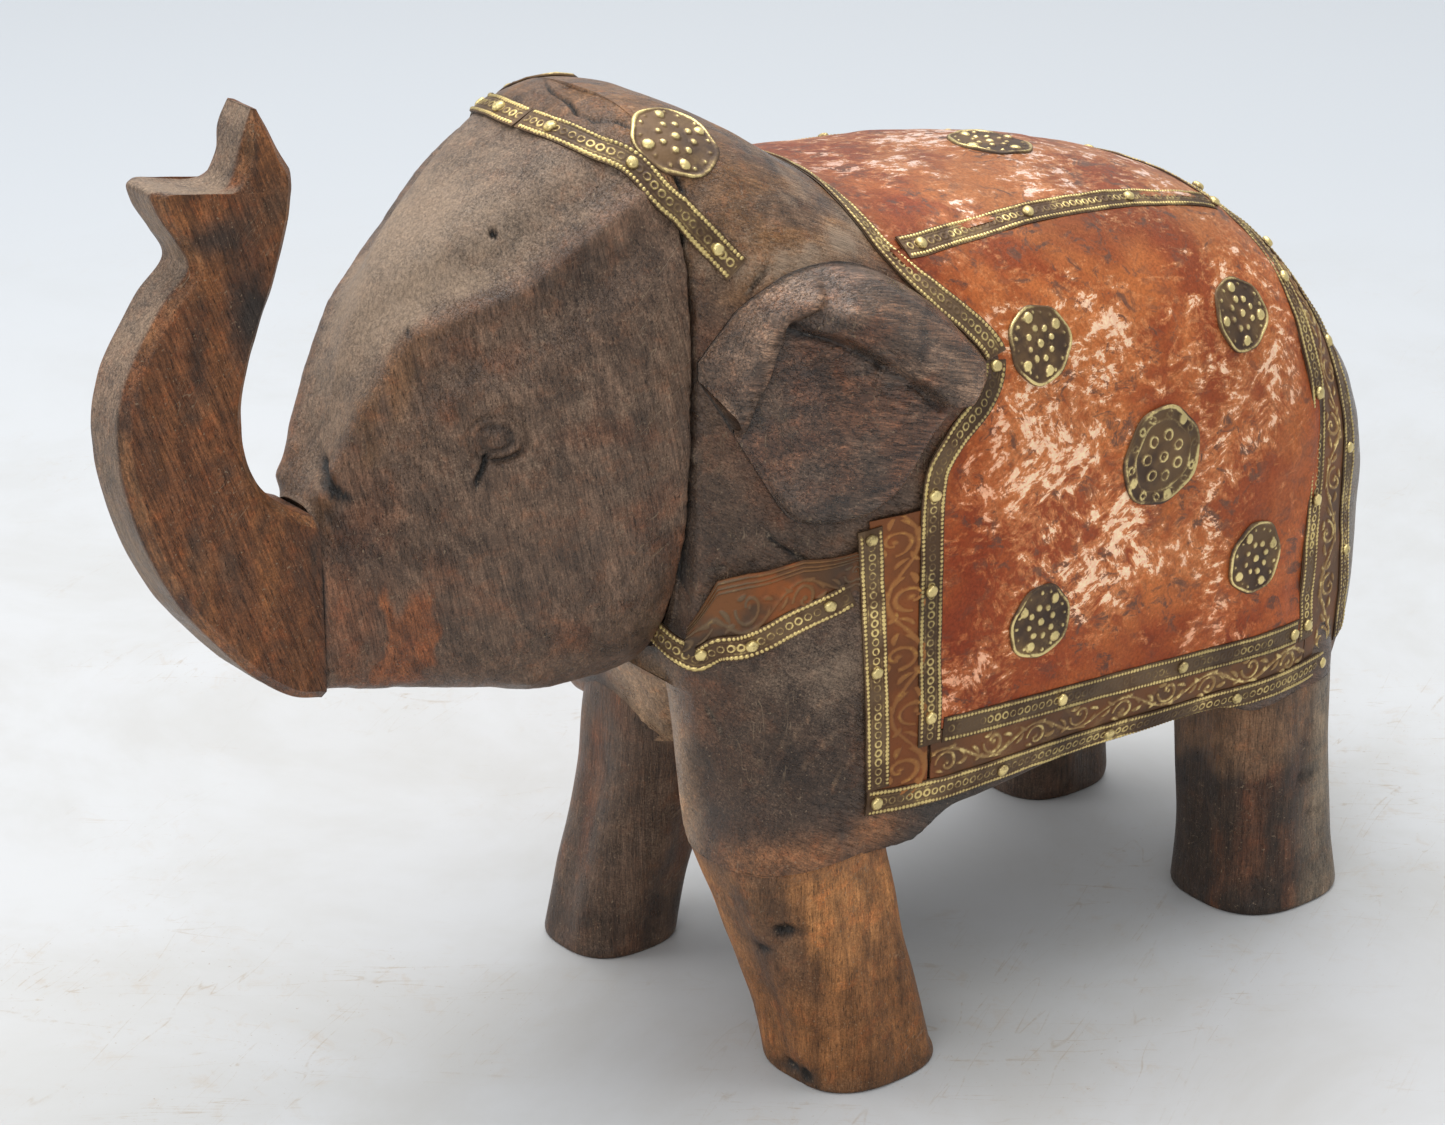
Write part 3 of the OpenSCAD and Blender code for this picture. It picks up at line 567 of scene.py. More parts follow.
# points of each crack, its width, its depth
CRACKS = [
    ([(-58, 12, 248), (-62, 2.3, 247.3), (-63, -4, 246.8), (-65.2, -10, 246), (-64.6, -16.5, 244.5),
      (-61, -19, 244.8), (-59.7, -22.5, 243.8)], 0.8, 1.5),
    ([(-54.7, -28, 240), (-54.7, -34.7, 233.2), (-55.2, -36.3, 230), (-56.8, -39.5, 220.6)], 1.2, 3.0),
    ([(-40, -48, 213), (-44.5, -47, 209), (-49, -44.5, 205.5)], 1.0, 1.8),
    ([(-39, -50, 144), (-47, -47.5, 142.5), (-55, -43, 142)], 0.6, 0.9),
    ([(-44, -50, 152), (-38, -52, 146), (-30, -55, 140)], 1.0, 1.8),
    ([(-52.8, -39, 107), (-50, -42, 101), (-49, -43, 95)], 0.8, 1.2),
    ([(-33, -54, 84), (-38, -52, 92), (-36, -53, 99)], 0.5, 0.7),
]
HEAD_CRACKS = [
    ([(-134.4, 7, 180), (-134.6, 0, 178), (-133, -6, 174), (-130.8, -11.8, 168.8)], 2.4, 2.3),
    ([(-136.5, -3, 171.5), (-136, -9, 168.5), (-134.7, -10.8, 163)], 1.4, 0.9),
    ([(-94.6, -17.4, 226), (-94, -18, 224.6)], 1.3, 1.8),
    ([(-115.5, -14, 206.5), (-114, -14.8, 202)], 1.0, 1.2),
    ([(-103.5, -27, 177.6), (-105.8, -26, 170.3)], 1.05, 1.7),
    ([(-121, -12, 209), (-122.5, -10.5, 204)], 0.6, 0.6),
    ([(-72, -20, 243.5), (-80, -20, 238), (-87, -20.5, 232)], 0.4, 0.4),
]
# the edge from the neck down to the trunk that parts the forehead from the cheek
RIDGE = [(-60, -34, 236), (-63.6, -33.4, 232.1), (-77.7, -31.7, 224.1), (-91.3, -27.5, 214.2),
         (-103.2, -21.2, 209.2), (-114.8, -14.5, 204), (-124.5, -12, 189), (-131.1, -9.1, 175.4),
         (-133.8, -8.8, 168.8)]
EYE_AT = np.array([-101.4, -28.2, 181.2])
EYE_U = np.array([0.875, -0.475, -0.06])
EYE_V = np.array([0.02, 0.05, 1.0])
# turns points so that the chisel marks run down across the cheek
CHISEL_TURN = np.array([[0.8, 0, -0.6], [0, 1, 0], [0.6, 0, 0.8]])


def both_sides(p):
    """Points with their y made negative, so that a feature of the left side shows on both."""
    return np.stack([p[..., 0], -np.abs(p[..., 1]), p[..., 2]], -1)


def carve_common(p):
    """Hand-carved unevenness, in millimetres along the normal."""
    return 0.55 * noise(p, 26, 3) + 0.28 * noise(p, 11, 5) + 0.14 * noise(p, 5, 8)


def cracks_at(p, cracks):
    cut = np.zeros(p.shape[:-1])
    for k, (points, width, depth) in enumerate(cracks):
        d, along = line_distance(p, points, 0.7, 40 + k)
        taper = np.clip(np.minimum(along, 1 - along) * 6 + 0.25, 0, 1)
        cut = np.maximum(cut, depth * taper * bell(d, width * 0.55))
    return cut


def with_dust(c, dust):
    """Paint with a fourth channel that asks the material for dust."""
    return np.concatenate([np.clip(c, 0.004, 1), np.clip(dust, 0, 1)[..., None]], -1)


def fold_angle(a):
    """A section angle of either flank as that of the right one, from -90 to 90."""
    a = (a + 180) % 360 - 180
    return np.where(a > 90, 180 - a, np.where(a < -90, -180 - a, a))


def under_metal(p, a):
    """How far a point of the body lies under the saddle or collar, 0 to 1."""
    a = fold_angle(a)
    x, z = p[..., 0], p[..., 2]
    front = np.where(z < EAR_HIDES_Z, outer_front_x(a), line_x(1, a))
    saddle = np.minimum(np.minimum(x - front, line_x(3, a) - x), z - outer_z(x))
    turn = np.minimum(a - smooth(COLLAR, x, 1), smooth(COLLAR, x, 2) - a) * 0.9
    collar = np.minimum(turn, outer_front_x(a) + 2 - x)
    return step(np.maximum(saddle, collar), 0.8, 2.2)


def eye_relief(p):
    """Height of the engraved eye, and its dark paint: painted shade in its grooves, and a darker eyeball."""
    q = both_sides(p) - EYE_AT
    u, v = q @ EYE_U, q @ EYE_V
    v = v + 0.1 * u
    lid = np.sqrt((u / 6.5) ** 2 + (v / 5.3) ** 2)
    ball = np.sqrt(((u + 0.5) / 4.2) ** 2 + ((v - 0.1) / 3.0) ** 2)
    pupil = np.hypot(u + 0.2, v + 0.2) / 1.9
    groove = bell((lid - 1) * 5.8, 0.8)
    lower = groove * step(-v, 2.2, 4.2) * step(u, -2.5, 0)
    rim = bell((ball - 1) * 3.5, 0.6)
    dome = np.sqrt(np.clip(1 - pupil**2, 0, 1))
    height = -0.7 * groove - 0.9 * lower - 0.8 * rim + 1.4 * np.clip(1 - lid, 0, 1) + 0.55 * dome
    inside = step(1 - ball, 0, 0.15)
    dark = 0.35 * groove + 0.8 * lower + 0.7 * rim + inside * (0.62 - 0.3 * step(1.1 - pupil, 0, 0.3))
    brow = bell(v - 7.2 + 0.02 * (u - 3) ** 2, 0.8) * step(u, -5, -1) * (1 - step(u, 9, 13))
    return height - 0.45 * brow, np.clip(dark + 0.35 * brow, 0, 1)


def numeric_normals(table, x, a, e=0.3):
    du = skin(table, x + e, a) - skin(table, x - e, a)
    dv = skin(table, x, a + e) - skin(table, x, a - e)
    n = np.cross(dv, du)
    return n / np.maximum(np.linalg.norm(n, axis=-1, keepdims=True), 1e-9)


def outer_surface(x, a):
    """Carved surface of head or body, without cracks, and its normal: what the metal is nailed to."""
    x, a = np.broadcast_arrays(np.asarray(x, float), np.asarray(a, float))
    on_head = (x < NECK_X)[..., None]
    xb, xh = np.maximum(x, NECK_X), np.minimum(x, NECK_X)
    pb, ph = skin(BODY, xb, a), skin(HEAD, xh, a)
    nb, nh = numeric_normals(BODY, xb, a), numeric_normals(HEAD, xh, a)
    p = np.where(on_head, ph, pb)
    n = np.where(on_head, nh, nb)
    p = p + n * carve_common(p)[..., None]
    low = underside(p[..., 0], p[..., 1])
    p[..., 2] = np.where(on_head[..., 0], p[..., 2], np.maximum(p[..., 2], low))
    return p, n


def leg_radius(rows, x, y):
    """1 on the outline of a leg's top, less inside it."""
    _, cx, cy, rx, ry = rows[-1]
    n = LEG_ROUNDNESS
    return ((np.abs(x - cx) / rx) ** n + (np.abs(y - cy) / ry) ** n) ** (1 / n)


def carved_underside(x, y):
    """The underside, cut away in front of the near shoulder where the blocks' own table leaves it square."""
    rows = LEGS["leg_front_left"]
    inner = step(y, -46, -36) * step(-x, 20, 30)
    lift = 46 * inner * step(leg_radius(rows, x, y), 1.0, 1.25)
    return np.maximum(underside(x, y), JOINT_Z + lift * (y < 0))


def leg_flare(p):
    """Pushes the body's skin out to meet the outline of each leg's top."""
    out = p.copy()
    for rows in LEGS.values():
        _, cx, cy, _, _ = rows[-1]
        r = np.maximum(leg_radius(rows, out[..., 0], out[..., 1]), 1e-3)
        weight = (1 - step(out[..., 2], 64, 96)) * step(r, 0.3, 0.6) * (r < 1)
        grow = 1 + (1 / r - 1) * weight
        out[..., 0] = cx + (out[..., 0] - cx) * grow
        out[..., 1] = cy + (out[..., 1] - cy) * grow
    return out


def gap_open(p):
    """1 where the neck joint shows as an open crack, 0 over the crown where it is closed."""
    return 1 - step(p[..., 2] + 2 * noise(p, 6, 22), 217, 223)


SHOULDER_SCRATCHES = [
    [(-42, -50, 92), (-34, -54, 99), (-28, -56, 108)], [(-38, -52, 84), (-30, -55, 93), (-24, -57, 98)],
    [(-45, -48, 88), (-40, -51, 97), (-36, -53, 100)], [(-30, -55, 76), (-26, -57, 84), (-20, -58, 90)],
    [(-46, -47, 110), (-39, -51, 118), (-35, -53, 121)],
]


def crown_paint(p):
    """Paint of the crown and neck top, the same on both sides of the neck joint."""
    x, z = p[..., 0], p[..., 2]
    c = np.broadcast_to(DARK * 1.15, p.shape).copy()
    c = coats(
        c,
        (HONEY * 0.8, 0.25 + 0.7 * step(fractal(p, (26, 7, 9), 12), -0.2, 0.3)),
        (DARK * 0.6, 0.6 * step(fractal(p, (18, 9, 9), 19), 0.05, 0.5)),
    )
    streak = fractal(p, (30, 2.2, 2.6), 15, 3)
    dust = 0.16 + 0.35 * step(fractal(p, 9, 18), 0.1, 0.5) + 0.5 * bell(z - 214, 4) * (x > -48)
    return c * (1 + 0.38 * streak)[..., None], dust


def paint_body(p, cut):
    x, y, z = axes(p)
    c = np.broadcast_to(DARK, p.shape).copy()
    c = blend_colour(c, RED, 0.7 * step(fractal(p, (34, 18, 18), 11), -0.1, 0.45))
    shoulder = near(both_sides(p), (-34, -52, 88), (26, 30, 22))
    c = blend_colour(c, DARK * 0.55, shoulder * 0.85)
    low = (1 - step(z + 4 * noise(p, 9, 16), 68, 88)) * step(-x, -60, 0)
    c = blend_colour(c, BLACK * 2.2, low * 0.8)
    q = both_sides(p)
    ember = near(q, (-38, -52, 64), (15, 18, 7)) + 0.8 * near(q, (-14, -59, 68), (7, 12, 5))
    c = blend_colour(c, [0.2, 0.088, 0.038], np.clip(ember * 1.6, 0, 1) * step(fractal(p, 8, 17), -0.6, -0.2))
    # The chest under the jaw is painted pale: a painted highlight for its lit sheen.
    chest_highlight = (1 - step(np.abs(y), 24, 38)) * (1 - step(z, 118, 128)) * step(-x, 0, 20)
    c = blend_colour(c, [0.34, 0.21, 0.12], chest_highlight * 0.9)
    c = blend_colour(c, [0.17, 0.13, 0.09], 0.7 * step(x, 150, 162))
    streak = fractal(p, (40, 2.6, 2.6), 15, 3)
    c = c * (1 + 0.22 * streak)[..., None]
    chest = near(q, (-28, -57, 118), (14, 30, 16))
    dust = 0.08 + 0.42 * chest + 0.22 * fractal(p, 14, 14)
    crown, crown_dust = crown_paint(p)
    top = step(z + 5 * noise(p, 14, 28), 200, 212) * step(-x, -20, 0)
    c = blend_colour(c, crown, top)
    dust = dust + (crown_dust - dust) * top
    # Cracks and the open neck gap are painted black: painted shade in these recesses.
    c = blend_colour(c, BLACK, np.clip(cut * 1.5, 0, 1))
    lines = np.zeros(p.shape[:-1])
    for k, path in enumerate(SHOULDER_SCRATCHES):
        d, along = line_distance(q, path, 1.2, 60 + k)
        lines = np.maximum(lines, bell(d, 0.45) * np.clip(np.minimum(along, 1 - along) * 8, 0, 1))
    c = blend_colour(c, [0.22, 0.135, 0.08], lines * 0.85)
    dust = dust * (1 - 0.8 * low) * step(z, 60, 80) + 0.5 * bell(cut - 0.6, 0.35) * (cut > 0.2)
    return with_dust(c, dust)


def neck_face(ring, bottom_x):
    """The two rings that close a block at the neck: its face, and the bottom of the shallow well in it."""
    centre = ring.mean(0)
    face = centre + (ring - centre) * 0.9
    face[:, 0] = ring[:, 0]
    well = centre + (ring - centre) * 0.88
    well[:, 0] = bottom_x
    return face, well


def build_body():
    front = np.arange(NECK_X + 0.6, 6, 0.7)
    saddle = np.arange(7, 150, 2.0)
    rear = np.arange(151, RUMP_X, 0.9)
    x = np.concatenate([[NECK_X + 0.1], front, saddle, rear, [RUMP_X]])
    around = 460
    a = 360 * (np.arange(around) + 0.5) / around
    X, A = np.meshgrid(x, a, indexing="ij")
    p = skin(BODY, X, A)
    n = surface_normals(p)
    calm = step(p[..., 2], 62, 74) * (1 - step(p[..., 0], 168, 181))
    p = p + n * (carve_common(p) * calm - 0.7 * under_metal(p, A))[..., None]
    cut = cracks_at(p, CRACKS)
    open_gap = gap_open(p)
    low_corner = 1 - step(p[..., 2], 112, 132)
    edge = 0.8 * np.exp(-(p[..., 0] - NECK_X) / 0.8) * open_gap
    edge = edge + 2.6 * np.exp(-(p[..., 0] - NECK_X) / 2.2) * low_corner
    p = p - n * (cut + edge)[..., None]
    flat = p * np.array([0, 1, 1])
    ragged = (0.6 + 0.4 * noise(flat, 5, 23) + 0.25 * noise(flat, 1.6, 24)) * open_gap
    p[..., 0] = p[..., 0] + np.maximum(ragged, 0) * np.exp(-(p[..., 0] - NECK_X) / 1.2)
    low = carved_underside(p[..., 0], p[..., 1])
    k = 0.1 + 2.4 * np.clip((low - JOINT_Z) / 8, 0, 1)
    h = np.clip(0.5 + 0.5 * (p[..., 2] - low) / k, 0, 1)
    p[..., 2] = low + (p[..., 2] - low) * h + k * h * (1 - h)
    p = leg_flare(p)
    p[..., 0] = np.minimum(p[..., 0], RUMP_X - 0.05)
    # the open neck gap, darkened through cut: painted shade in the gap
    crack = 0.9 * np.exp(-(p[..., 0] - NECK_X) / 0.6) * open_gap * (1 - low_corner)
    cut = np.maximum(cut, crack)
    end = p[-1].mean(0)
    closing = [end + (p[-1] - end) * k for k in (0.9, 0.75, 0.5, 0.25)]
    p = np.concatenate([p, closing])
    cut = np.concatenate([cut, np.zeros((len(closing), around))])
    colours = paint_body(p, cut)
    face, well = neck_face(p[0], NECK_X + 0.02)
    jaw = skin(HEAD, NECK_X, a)
    hub = skin(HEAD, NECK_X, 90.0) * [1, 0, 0] + [0, 0, HEAD[-1, 2]]
    beyond = np.linalg.norm(face - hub, axis=1) > np.linalg.norm(jaw - hub, axis=1)
    # The neck face is painted black inside the jaw's outline, where it lies within the joint: painted shade;
    # outside it, plain dark wood.
    face_paint = np.where(beyond[:, None], np.append(DARK * 0.8, 0.3), np.append(BLACK, 0.0))
    p = np.concatenate([well[None], face[None], p])
    colours = np.concatenate([face_paint[None], face_paint[None], colours])
    finish_piece(tube("body_block_carved", p, colours), ["body_block"], wood_body)


def paint_head(p, cut, eye):
    x, y, z = axes(p)
    c = np.broadcast_to(DARK * 1.4, p.shape).copy()
    q = both_sides(p)
    d, along = line_distance(q, RIDGE)
    edge_path = np.array(RIDGE)[::-1]
    ridge_y = np.interp(x, edge_path[:, 0], -edge_path[:, 1])
    ridge_z = np.interp(x, edge_path[:, 0], edge_path[:, 2])
    front = step(ridge_y - np.abs(y) + 1.5 * noise(p, 5, 44), -2.5, 1.5) * step(z - ridge_z, -8, -1)
    ridge = bell(d, 4.5)
    c = coats(
        c,
        ([0.19, 0.1, 0.058], ridge * 0.85 * step(fractal(p, 9, 32), -0.5, 0.3)),
        (HONEY * 0.8, 0.85 * bell(d, 8) * step(along, 0.4, 0.85)
         * step(fractal(p, (6, 6, 12), 33), -0.3, 0.3)),
        (DARK * 0.5, 0.65 * near(q, (-84, -34, 214), (14, 12, 13)) * (1 - front)),
        (RED * 1.05, 0.9 * near(q, (-131, -12, 136), (8, 30, 26))
         * step(fractal(p, (4, 4, 14), 34), -0.5, 0.2)),
        (BLACK * 1.6, 0.85 * near(q, (-129, -14, 160), (6, 12, 9)) * step(fractal(p, 5, 35), -0.5, 0.2)),
    )
    patch = step(6.2 - np.abs(x + 119.5) + 2.4 * noise(p, (5, 5, 5), 41), 0, 1)
    patch = patch * step(z, 119, 122) * (1 - step(z + 5 * noise(p, (2.6, 2.6, 20), 42), 140, 146))
    c = blend_colour(c, [0.21, 0.066, 0.02], 0.9 * patch)
    edge = step(14 - np.abs(x + 119), 0, 4) * (1 - step(z, 118, 131))
    c = coats(
        c,
        (BLACK * 1.8, 0.4 * edge * (1 - patch)),
        (RED * 1.2, 0.55 * step(fractal(p, (14, 14, 10), 36), 0.05, 0.5) * (1 - 0.6 * front)),
        (DARK * 0.5, 0.4 * step(fractal(p, (9, 9, 13), 43), 0.1, 0.6)),
        ([0.15, 0.1, 0.066], 0.5 * front),
    )
    marks = fractal(p @ CHISEL_TURN, (1.3, 5, 10), 38, 3)
    c = c * (1 + 0.38 * marks)[..., None]
    dust = 0.2 + 0.18 * front + 0.24 * fractal(p, 6, 37)
    dust = dust - 0.4 * ridge * step(along, 0.0, 0.2) * (1 - 0.5 * front)
    dust = dust + front * (0.62 * near(q, (-106, -2, 224), (26, 22, 20))
                           + 0.25 * near(q, (-125, -2, 195), (16, 12, 20)))
    dust = dust + 0.3 * near(q, (-113, -10, 207), (7, 9, 7)) - 0.5 * patch
    dust = dust - 0.16 * (1 - step(z, 140, 175)) * (1 - front)
    crown, crown_dust = crown_paint(p)
    a = np.degrees(np.arctan2(z - smooth(HEAD, x, 2), np.abs(y)))
    top = step(x - smooth(FOREHEAD_LINE, a, 1), -1.5, 1.5) * step(z, 222, 232)
    c = blend_colour(c, crown, top)
    dust = dust + (crown_dust - dust) * top
    # Cracks, the open neck seam and the eye's grooves are painted black: painted shade in these recesses; the
    # glue line by the trunk is dark glue.
    c = blend_colour(c, BLACK, np.clip(cut * 1.4 + eye * 0.8, 0, 1))
    return with_dust(c, dust * (1 - np.clip(cut + eye, 0, 1)))


def build_head():
    x = np.append(np.linspace(TRUNK_X + 0.04, NECK_X - 0.6, 144), NECK_X - 0.1)
    around = 520
    a = 360 * (np.arange(around) + 0.5) / around
    X, A = np.meshgrid(x, a, indexing="ij")
    p = skin(HEAD, X, A)
    n = surface_normals(p)
    q = both_sides(p)
    d, along = line_distance(q, RIDGE)
    swell = (2.4 * bell(d, 3.2) - 1.5 * bell(d - 9.5, 5.5)) * step(along, 0.02, 0.25)
    valley = -0.8 * bell(p[..., 1], 9) * step(p[..., 0], -100, -66) * step(p[..., 2], 225, 240)
    brow = 0.9 * near(q, (-96, -31, 191), (9, 8, 3))
    socket = -0.9 * near(q, (-100, -29, 181), (13, 9, 9))
    jaw = 1.6 * near(q, (-84, -18, 112), (10, 12, 5))
    nub = 2.0 * near(q, (-90, -24, 117.5), (3.5, 5, 2.2))
    lift, dark = eye_relief(p)
    cut = cracks_at(p, HEAD_CRACKS + CRACKS[:2])
    marks = fractal(p @ CHISEL_TURN, (1.6, 8, 14), 39, 2) * 0.14
    open_gap = gap_open(p)
    back = 0.5 * np.exp((p[..., 0] - NECK_X) / 0.6) * open_gap
    roll = 1.5 * near(q, (-135, -4, 171), (2.2, 12, 4)) * step(p[..., 0], TRUNK_X, TRUNK_X + 1.5)
    move = (carve_common(p) * step(p[..., 0], -138, -128) + swell + valley + brow + socket + jaw + nub
            + lift + marks + roll - cut - back) * step(p[..., 0], TRUNK_X - 0.5, TRUNK_X + 0.8)
    p = p + n * move[..., None]
    flat = p * np.array([0, 1, 1])
    ragged = (0.55 + 0.4 * noise(flat, 5, 25) + 0.25 * noise(flat, 1.7, 26)) * open_gap
    p[..., 0] = p[..., 0] - np.maximum(ragged, 0) * np.exp((p[..., 0] - NECK_X) / 1.2)
    p[..., 0] = np.maximum(p[..., 0], TRUNK_X + 0.02)
    glue = bell(p[..., 0] - TRUNK_X, 0.6) * (0.5 + 0.5 * noise(p, 5, 27)) * (p[..., 2] < 163)
    # the open neck gap, painted black by paint_head: painted shade in the gap
    seam = 0.9 * np.exp((p[..., 0] - NECK_X) / 0.5) * open_gap
    colours = paint_head(p, np.maximum(np.maximum(cut, seam), glue), dark)
    face, well = neck_face(p[-1], NECK_X - 0.02)
    # The head's neck face and well are painted black: painted shade inside the joint.
    black = np.broadcast_to(np.append(BLACK, 0.0), (2, around, 4))
    p = np.concatenate([p, face[None], well[None]])
    colours = np.concatenate([colours, black])
    finish_piece(tube("head_block_carved", p, colours), ["head_block"], wood_head)


# ---------------------------------------------------------------- trunk
def build_trunk():
    rows, per_edge = 190, 12
    t = np.linspace(0, len(TRUNK) - 1, rows)
    table = np.column_stack([np.arange(len(TRUNK)), TRUNK])
    s = np.stack([smooth(table, t, c) for c in range(1, 6)], -1)
    o, i = s[:, :2], s[:, 2:4]
    length = np.linalg.norm(i - o, axis=1)
    d = (i - o) / length[:, None]
    half = s[:, 4]
    c = np.minimum(2.8, length * 0.25)
    z = np.zeros(rows)
    corners = [(z, c - half), (c, -half), (length - c, -half), (length, c - half),
               (length, half - c), (length - c, half), (c, half), (z, half - c)]
    ring = []
    for k in range(8):
        e0, e1 = corners[k], corners[(k + 1) % 8]
        for m in range(per_edge):
            u = m / per_edge
            ring.append((e0[0] * (1 - u) + e1[0] * u, e0[1] * (1 - u) + e1[1] * u))
    p = np.stack([np.stack([o[:, 0] + d[:, 0] * e[0], e[1], o[:, 1] + d[:, 1] * e[0]], -1) for e in ring], 1)
    p = 0.5 * p + 0.25 * (np.roll(p, 1, 1) + np.roll(p, -1, 1))
    p[1:-1] = 0.6 * p[1:-1] + 0.2 * (p[2:] + p[:-2])
    n = surface_normals(p)
    outward = np.clip(1 - np.abs(n[..., 1]) * 1.6, 0, 1)
    front_edge = np.stack([o[:, 0], z, o[:, 1]], -1)[:, None]
    backward = np.stack([d[:, 0], z, d[:, 1]], -1)[:, None]
    front = outward * (((p - front_edge) * backward).sum(-1) < length[:, None] * 0.5)
    rough = (0.3 * noise(p, 14, 51) + 0.16 * noise(p, 5, 52)) * step(-p[..., 0], 138, 143)
    p = p + n * (rough - 0.1)[..., None]
    p[..., 0] = np.clip(p[..., 0], TRUNK_FRONT_X, TRUNK_X - 0.02)
    p[..., 2] = np.minimum(p[..., 2], TRUNK_TOP_Z)
    c = np.broadcast_to([0.13, 0.047, 0.017], p.shape).copy()
    c = coats(
        c,
        ([0.2, 0.075, 0.024], 0.7 * step(fractal(p, (8, 8, 22), 53), -0.1, 0.45)),
        (DARK * 0.6, 0.7 * step(fractal(p, (5, 7, 20), 54), 0.05, 0.5)),
        ([0.14, 0.092, 0.062], front * 0.85),
    )
    stain = near(p, (-152, -8, 216), (7, 30, 13)) + near(p, (-146.5, -8, 201), (5, 30, 10))
    stain = stain + 0.7 * near(p, (-160, -8, 236), (9, 30, 5))
    stain = stain + 0.6 * near(p, (-139, 0, 160), (3.5, 30, 10)) * step(p[..., 2], 120, 150)
    c = coats(
        c,
        (BLACK * 2.0, 0.95 * np.clip(1.4 * stain + 0.5 * fractal(p, 6, 56) - 0.25, 0, 1) * (1 - front)),
        (BLACK * 2.5, 0.5 * step(fractal(p, (4, 8, 14), 57), 0.25, 0.6) * (1 - 0.5 * front)),
    )
    corner = bell(np.abs(n[..., 1]) - 0.72, 0.16)
    c = blend_colour(c, [0.27, 0.13, 0.055], corner * 0.55 * step(fractal(p, 9, 58), -0.4, 0.3))
    streak = fractal(p, (1.6, 4, 11), 59, 3)
    c = c * (1 + 0.3 * streak)[..., None]
    glue = bell(p[..., 0] - TRUNK_X, 0.6) * (0.5 + 0.5 * noise(p, 5, 27))
    c = blend_colour(c, BLACK * 2, glue * 0.9)
    dust = front * (0.75 + 0.3 * fractal(p, 12, 55)) - 0.25
    dust = dust + 0.3 * step(n[..., 2], 0.3, 0.8) * step(p[..., 2], 225, 235)
    finish_piece(tube("trunk_carved", p, with_dust(c, dust)), ["trunk"], wood_trunk)


# ---------------------------------------------------------------- ears
# the line where the folded flap ends, and the valley from its top corner to the ear's upper edge
EAR_FOLD = [(-49, 0, 172), (-46.5, 0, 180), (-45.2, 0, 186), (-41.5, 0, 194.5), (-37.8, 0, 202),
            (-33, 0, 200), (-28, 0, 197), (-18, 0, 190.5), (-7.5, 0, 182.3), (-1, 0, 176)]
EAR_VALLEY = [(-27.5, 0, 214), (-31, 0, 208), (-37.8, 0, 201.5)]
EAR_FRONT_X, EAR_BACK_X = -56.6, 12
EAR_PEG_X, EAR_PEG_Z, EAR_PEG_RADIUS = -14, 185, 4.5
EAR_OVER_PEG = 62.5
EAR_WIDEST = 69.0


def quarter_round(distance, radius):
    """0 on an edge, rising like a quarter circle to 1 at the radius."""
    return np.sqrt(np.clip(1 - (1 - np.clip(distance / radius, 0, 1)) ** 2, 0, 1))


